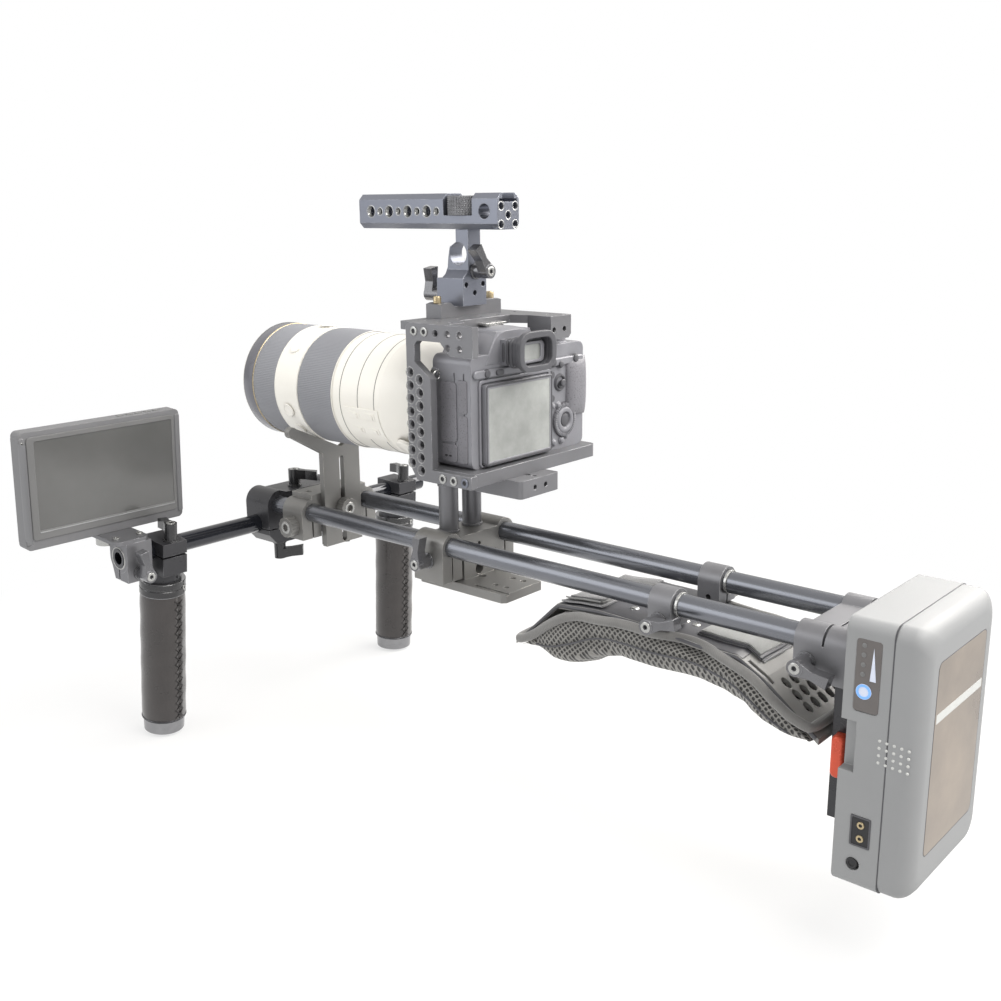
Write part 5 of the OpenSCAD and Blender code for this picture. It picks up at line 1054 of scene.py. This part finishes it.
def side_lines(skin, side):
    """The binding's and the sewn line's routes on one side of the cushion's skin."""
    upper, lower = [], []
    for y in np.arange(-70.0, -298.0, -PIPING_STEP):
        near = skin[(np.abs(skin[:, 1] - y) < SLICE) & (skin[:, 0] * side > 0)]
        high, low = pad_line(BINDING_SHARES, y), pad_line(SILL_SHARES, y)
        for line, z in ((upper, high), (lower, high * 0.45 + low * 0.55)):
            ring = near[np.abs(near[:, 2] - z) < RING_HALF]
            wide = np.abs(ring[:, 0]).max() if len(ring) else BARE_X
            line.append((side * min(wide, PIPING_X), y, z))
    return evened(upper), evened(lower)[4:-3]


def bowed(left, right, reach, n=20):
    """Points between two ends, bowed forward by the reach."""
    a, b = np.array(left), np.array(right)
    points = []
    for k in range(1, n):
        bow = reach * math.sin(math.pi * k / n) ** 0.4
        points.append(tuple(a + (b - a) * k / n + (0, bow, 0)))
    return points


def binding(skin):
    """Piping round the cushion's upper rim, and the creased line along each of its sides."""
    (left, left_crease), (right, right_crease) = (side_lines(skin, side) for side in (-1, 1))
    loop = left[::-1] + bowed(left[0], right[0], 3.0) + right + bowed(left[-1], right[-1], -2.4)[::-1]
    bead = tube(loop, PIPING_R, 14, True)
    piping = shape("cushion_binding", [bead], ROW, "shoulder_pad", FELT, subdivide=1)
    sewn = [tube([(x + 0.3 * side, y, z) for x, y, z in line], 0.7, 8)
            for side, line in ((-1, left_crease), (1, right_crease))]
    shape("cushion_sewn_line", sewn, ROW, "shoulder_pad", SMOKE)


def strap(name, y0, y1, x0, x1, material, lift, curl=0.0, thick=1.1, n=40):
    """Webbing laid over the frame at a lift; its left end rises by the curl."""
    m = max(10, int((y0 - y1) / 4))
    points, faces = [], []
    for lay in (0.0, thick):
        for i in range(n + 1):
            x = x0 + (x1 - x0) * i / n
            rise = curl * max(0.0, 1 - (x - x0) / 9) ** 2
            for k in range(m + 1):
                y = y0 + (y1 - y0) * k / m
                z = pad_top(y) + lift + lay + rise + 0.2 * math.sin(x * 0.19 + y * 0.23)
                points.append((x + 0.25 * math.sin(y * 0.4), y + 0.25 * math.sin(x * 0.21), z))
    w, half = m + 1, (n + 1) * (m + 1)
    for i in range(n):
        for k in range(m):
            q = (i * w + k, i * w + k + 1, (i + 1) * w + k + 1, (i + 1) * w + k)
            faces += [q[::-1], tuple(v + half for v in q)]
    rim = list(range(w)) + [i * w + m for i in range(1, n + 1)]
    rim += [n * w + k for k in range(m - 1, -1, -1)] + [i * w for i in range(n - 1, 0, -1)]
    faces += [(a, b, b + half, a + half) for a, b in zip(rim, rim[1:] + rim[:1])]
    return shape(name, [(points, faces)], ROW, "shoulder_pad", material, smooth=50)


def pad_dress():
    """The frame's rubber edges and cover, its two straps in layers, and its rivets."""
    for s, side in ((-1, "left"), (1, "right")):
        line = [(s * EDGE_X, y, pad_top(y) - 1.5) for y in np.arange(-70, -299, -PIPING_STEP)]
        shape(f"pad_frame_edge_{side}", [tube(line, 1.3, 10)], ROW, "shoulder_pad", SMOKE)
    strap("pad_frame_cover", -74, -247, -38.4, 38.4, SMOKE, lift=-0.7)
    first = strap("front_pad_strap", -106.5, -140, -38, 38, WEBBING, lift=0.5, curl=1.6)
    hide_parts("pad_straps")
    strap("front_strap_tape", -108.5, -137.5, -35.5, 12, LOOPS, lift=1.7, curl=2.6)
    strap("front_strap_fold", -110.5, -135.5, -32, -6, WEBBING, lift=2.9, curl=1.2)
    strap("rear_pad_strap", -208, -256, -26, 24, WEBBING, lift=0.5)
    strap("rear_strap_layer", -209.5, -254.5, -26.8, 22, SMOKE, lift=1.6)
    strap("rear_strap_tape", -210.5, -253, -25.4, 21, LOOPS, lift=2.7)
    rivet = lathe([(0, 1.6), (2.2, 1.5), (3.1, 0.8), (3.3, 0.1)], 24)
    spots = [(x, y) for side in (-1, 1) for x, y in ((side * 21, -156), (side * 15, -192), (side * 15, -200))]
    shape("pad_frame_rivets", [moved(rivet, x, y, pad_top(y)) for x, y in spots], ROW, "shoulder_pad", STEEL)


# Battery
BATTERY_SIDE = frame_at((BATTERY_LEFT, 0, 0), LEFT, TO_OPERATOR)  # X to the operator, Y up
BATTERY_REAR = 366
SHELL_ROUND = 10


def on_battery(back, z, x=BATTERY_LEFT - 0.1):
    """A placing matrix that looks out of the battery's left side, that far back and up."""
    return frame_at((x, -back, z), LEFT)


def battery_shell():
    """The rear shell, its rim rounded in steps."""
    sections = [(rounded(-54, 50, -100, 63, 9), 347.2)]
    for k in range(9):
        a = math.radians(90 * k / 8)
        d = SHELL_ROUND * (1 - math.cos(a))
        outline = rounded(-54 + d, 50 - d, -100 + d, 63 - d, 9 + 3 * k / 8)
        sections.append((outline, BATTERY_REAR - SHELL_ROUND + SHELL_ROUND * math.sin(a)))
    rear = shape("battery_rounded_back", [loft(sections)], REARWARD, "battery", SHELL, smooth=60)
    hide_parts("battery_rear_shell")


def battery_side():
    """Charge lights, power ring, sockets and grip dots on the left side."""
    panel = rounded(325.8, 340.3, 10, 52.5, 1.6)
    shape("battery_panel", [prism(panel, -0.9, 0.25)], BATTERY_SIDE, "battery", PANEL, 0.2)
    led = [(0, 0.75), (1.0, 0.6), (1.45, 0.25)]
    for i, z in enumerate((32, 37.6, 43.4, 49)):
        turned(f"battery_led_{i}", led, 24, on_battery(330.2, z), "battery", BEZEL)
    wedge = [(335.8, 48.5), (334.4, 29), (338.0, 29)]
    shape("battery_level_guide", [prism(wedge, 0.1, 0.5)], BATTERY_SIDE, "battery", GUIDE, 0.15)
    turned("battery_button_ring", [(2.9, 0.3), (3.0, 0.9), (4.2, 0.9), (4.4, 0.3)], 40, on_battery(331.5, 22),
           "battery", RING_BLUE)
    well = rounded(330.2, 340.2, -71.5, -54.6, 0.6)
    frame_line = rounded(329.2, 341.2, -72.5, -53.6, 0.8)
    shape("battery_socket", [band(frame_line, well, -0.3, 0.45)], BATTERY_SIDE, "battery", SMOKE, 0.2)
    # near black floor of the socket: painted shade
    shape("battery_socket_floor", [prism(well, 0.02, 0.12)], BATTERY_SIDE, "battery", HOLLOW)
    pin = [(1.0, 0.1), (1.1, 0.7), (2.1, 0.7), (2.3, 0.1)]
    for i, z in enumerate((-58.8, -67.2)):
        turned(f"battery_socket_pin_{i}", pin, 28, on_battery(335.4, z), "battery", BRASS)
    # near black in the jack's hole: painted shade
    turned("battery_jack", [(0, 0.12), (1.9, 0.14), (2.0, 0.6), (3.0, 0.6), (3.3, 0.1)], 32,
           on_battery(331.6, -84, BATTERY_LEFT), "battery", HOLLOW)
    dot = lathe([(0, 0.55), (0.7, 0.4), (0.95, 0.0)], 12)
    dots = [moved(dot, 342.5 + 4.2 * i, -4.4 - 4.4 * k - 0.3 * i) for i in range(5) for k in range(4)]
    shape("battery_side_dots", dots, BATTERY_SIDE, "battery", NYLON)
    dots = [moved(dot, 321.5 + 3.2 * i, -6 - 4.4 * k) for i in range(2) for k in range(5)]
    shape("battery_notch_dots", dots, frame_at((-45.2, 0, 0), LEFT, TO_OPERATOR), "battery", GUIDE)


def battery_back():
    """The bare label in its groove, the latch's tab and the seam between the shells."""
    face = shifted(0, -BATTERY_REAR, 0) @ REARWARD
    label = rounded(-38, 34, -75, 42, 4)
    shape("battery_label", [prism(label, -0.5, 0.12)], face, "battery", LABEL, 0.1)
    groove = rounded(-38.6, 34.6, -75.6, 42.6, 4.6)
    shape("battery_label_groove", [band(groove, label, -0.3, 0.05)], face, "battery", SMOKE)
    shape("battery_label_bar", [prism(rounded(-36.5, 32.5, 6, 11.5, 0.4), 0.05, 0.2)], face, "battery", NYLON)
    tab = frame_at((-33.6, -311.6, -30), LEFT, FORWARD)  # X forward, Y up, Z to the left
    foot, crown = centred(4.2, 13.5, 3.6), centred(3.2, 12.5, 3.0)
    latch = loft([(foot, 0.2), (foot, 4.5), (crown, 6.2)])
    shape("battery_latch_tab", [latch], tab, "battery_latch", RED, 0.8)
    seam = rounded(-54.12, 50.12, -100.12, 63.12, 7.1)
    inner = rounded(-53.6, 49.6, -99.6, 62.6, 6.6)
    shape("battery_seam", [band(seam, inner, 346.7, 347.3)], REARWARD, "battery", SMOKE)


# Stage: a dome that is bright above and dim below, a pale floor, three soft lamps and the camera
FLOOR_Z = -145.5
FLOOR_HALF = 6
WARM_WHITE = (1.0, 0.985, 0.965, 1)
WHITE = (1, 1, 1, 1)
AIM = Vector((-0.02, -0.06, 0.06))
LAMPS = (("key_from_behind", (0.2, -1.3, 1.6), 1.5, 46, (1.0, 0.985, 0.96)),
         ("fill_from_left", (-1.45, 0.85, 0.7), 1.2, 9, (0.96, 0.98, 1.0)),
         ("rim_from_right", (1.2, -0.35, 0.85), 1.0, 22, (1.0, 0.97, 0.93)))
SENSOR_WIDTH = 36.0
FOCAL_LENGTH = 42.135
VIEW_FROM = (-0.6374, -0.5760, 0.2872)
VIEW_RIGHT = (0.6560, -0.7547, -0.0097)
VIEW_UP = (0.1939, 0.1561, 0.9685)
VIEW_BACK = (-0.7294, -0.6373, 0.2487)


def sky():
    """The dome that lights the rig; the camera itself sees plain white."""
    world = bpy.data.worlds.new("studio")
    bpy.context.scene.world = world
    world.use_nodes = True
    t = world.node_tree
    t.nodes.clear()
    seen = add(t, "LightPath").outputs["Is Camera Ray"]
    up = add(t, "SeparateXYZ", {"Vector": add(t, "TexCoord").outputs["Generated"]}).outputs["Z"]
    tone = add(t, "MapRange", {"Value": up, "From Min": 0.02, "From Max": 0.55, "To Min": 0.45,
                               "To Max": 0.92}).outputs[0]
    dome = add(t, "Background", {"Color": WARM_WHITE, "Strength": tone}).outputs[0]
    plain = add(t, "Background", {"Color": WHITE, "Strength": 1.0}).outputs[0]
    add(t, "OutputWorld", {"Surface": add(t, "MixShader", {0: seen, 1: dome, 2: plain}).outputs[0]})


def paper():
    """Matt paper under the rig, which fades into the white around it."""
    m = bpy.data.materials.new("studio_floor")
    m.use_nodes = True
    t = m.node_tree
    t.nodes.clear()
    at = add(t, "TexCoord").outputs["Object"]
    away = add(t, "VectorMath", {0: at}, operation="LENGTH").outputs["Value"]
    fade = add(t, "MapRange", {"Value": away, "From Min": 0.1, "From Max": 0.7, "To Min": 0.55}).outputs[0]
    cloud = add(t, "TexNoise", {"Vector": at, "Scale": 3.0}).outputs["Fac"]
    pale = add(t, "MixRGB", {"Fac": cloud, "Color1": rgb("#dcdcdb"), "Color2": rgb("#e2e1df")}).outputs[0]
    matt = add(t, "BsdfPrincipled", {"Base Color": pale, "Roughness": 0.8}).outputs[0]
    glow = add(t, "Emission", {"Color": WHITE, "Strength": 1.0}).outputs[0]
    add(t, "OutputMaterial", {"Surface": add(t, "MixShader", {0: fade, 1: matt, 2: glow}).outputs[0]})
    mesh = bpy.data.meshes.new("floor")
    corners = [(x * FLOOR_HALF, y * FLOOR_HALF, 0) for x, y in ((-1, -1), (1, -1), (1, 1), (-1, 1))]
    mesh.from_pydata(corners, [], [(0, 1, 2, 3)])
    mesh.materials.append(m)
    floor = bpy.data.objects.new("floor", mesh)
    floor.location = (0, 0, FLOOR_Z * MM)
    bpy.context.scene.collection.objects.link(floor)


def lamps():
    """Soft lamps that look at the rig's middle."""
    for name, spot, size, power, colour in LAMPS:
        light = bpy.data.lights.new(name, "AREA")
        light.size = size
        light.energy = power
        light.color = colour
        lamp = bpy.data.objects.new(name, light)
        lamp.location = spot
        lamp.rotation_mode = "QUATERNION"
        lamp.rotation_quaternion = (AIM - Vector(spot)).to_track_quat("-Z", "Y")
        bpy.context.scene.collection.objects.link(lamp)


def photo_view():
    """The camera that was fitted to the photo by its rods."""
    data = bpy.data.cameras.new("photo_view")
    data.sensor_width = SENSOR_WIDTH
    data.lens = FOCAL_LENGTH
    data.clip_start = 0.02
    data.clip_end = 40
    view = bpy.data.objects.new("photo_view", data)
    turn = Matrix((VIEW_RIGHT, VIEW_UP, VIEW_BACK)).transposed().to_4x4()
    turn.translation = Vector(VIEW_FROM)
    view.matrix_world = turn
    bpy.context.scene.collection.objects.link(view)
    bpy.context.scene.camera = view
    bpy.context.scene.view_settings.view_transform = "Standard"


levers_and_knobs()
grip("left", x=-136.5, lean=7, seam=-80)
grip("right", x=122, lean=3, seam=-96)
monitor()
lens_front()
lens_barrel_details()
ribbed_ring("focus_ring")
ribbed_ring("zoom_ring")
camera_display()
camera_back()
camera_eyepiece()
camera_left_side()
camera_top()
cage_screws()
hole_rims()
wheel_knurl()
rods()
binding(cushion() / MM)
pad_dress()
battery_shell()
battery_side()
battery_back()
sky()
paper()
lamps()
photo_view()
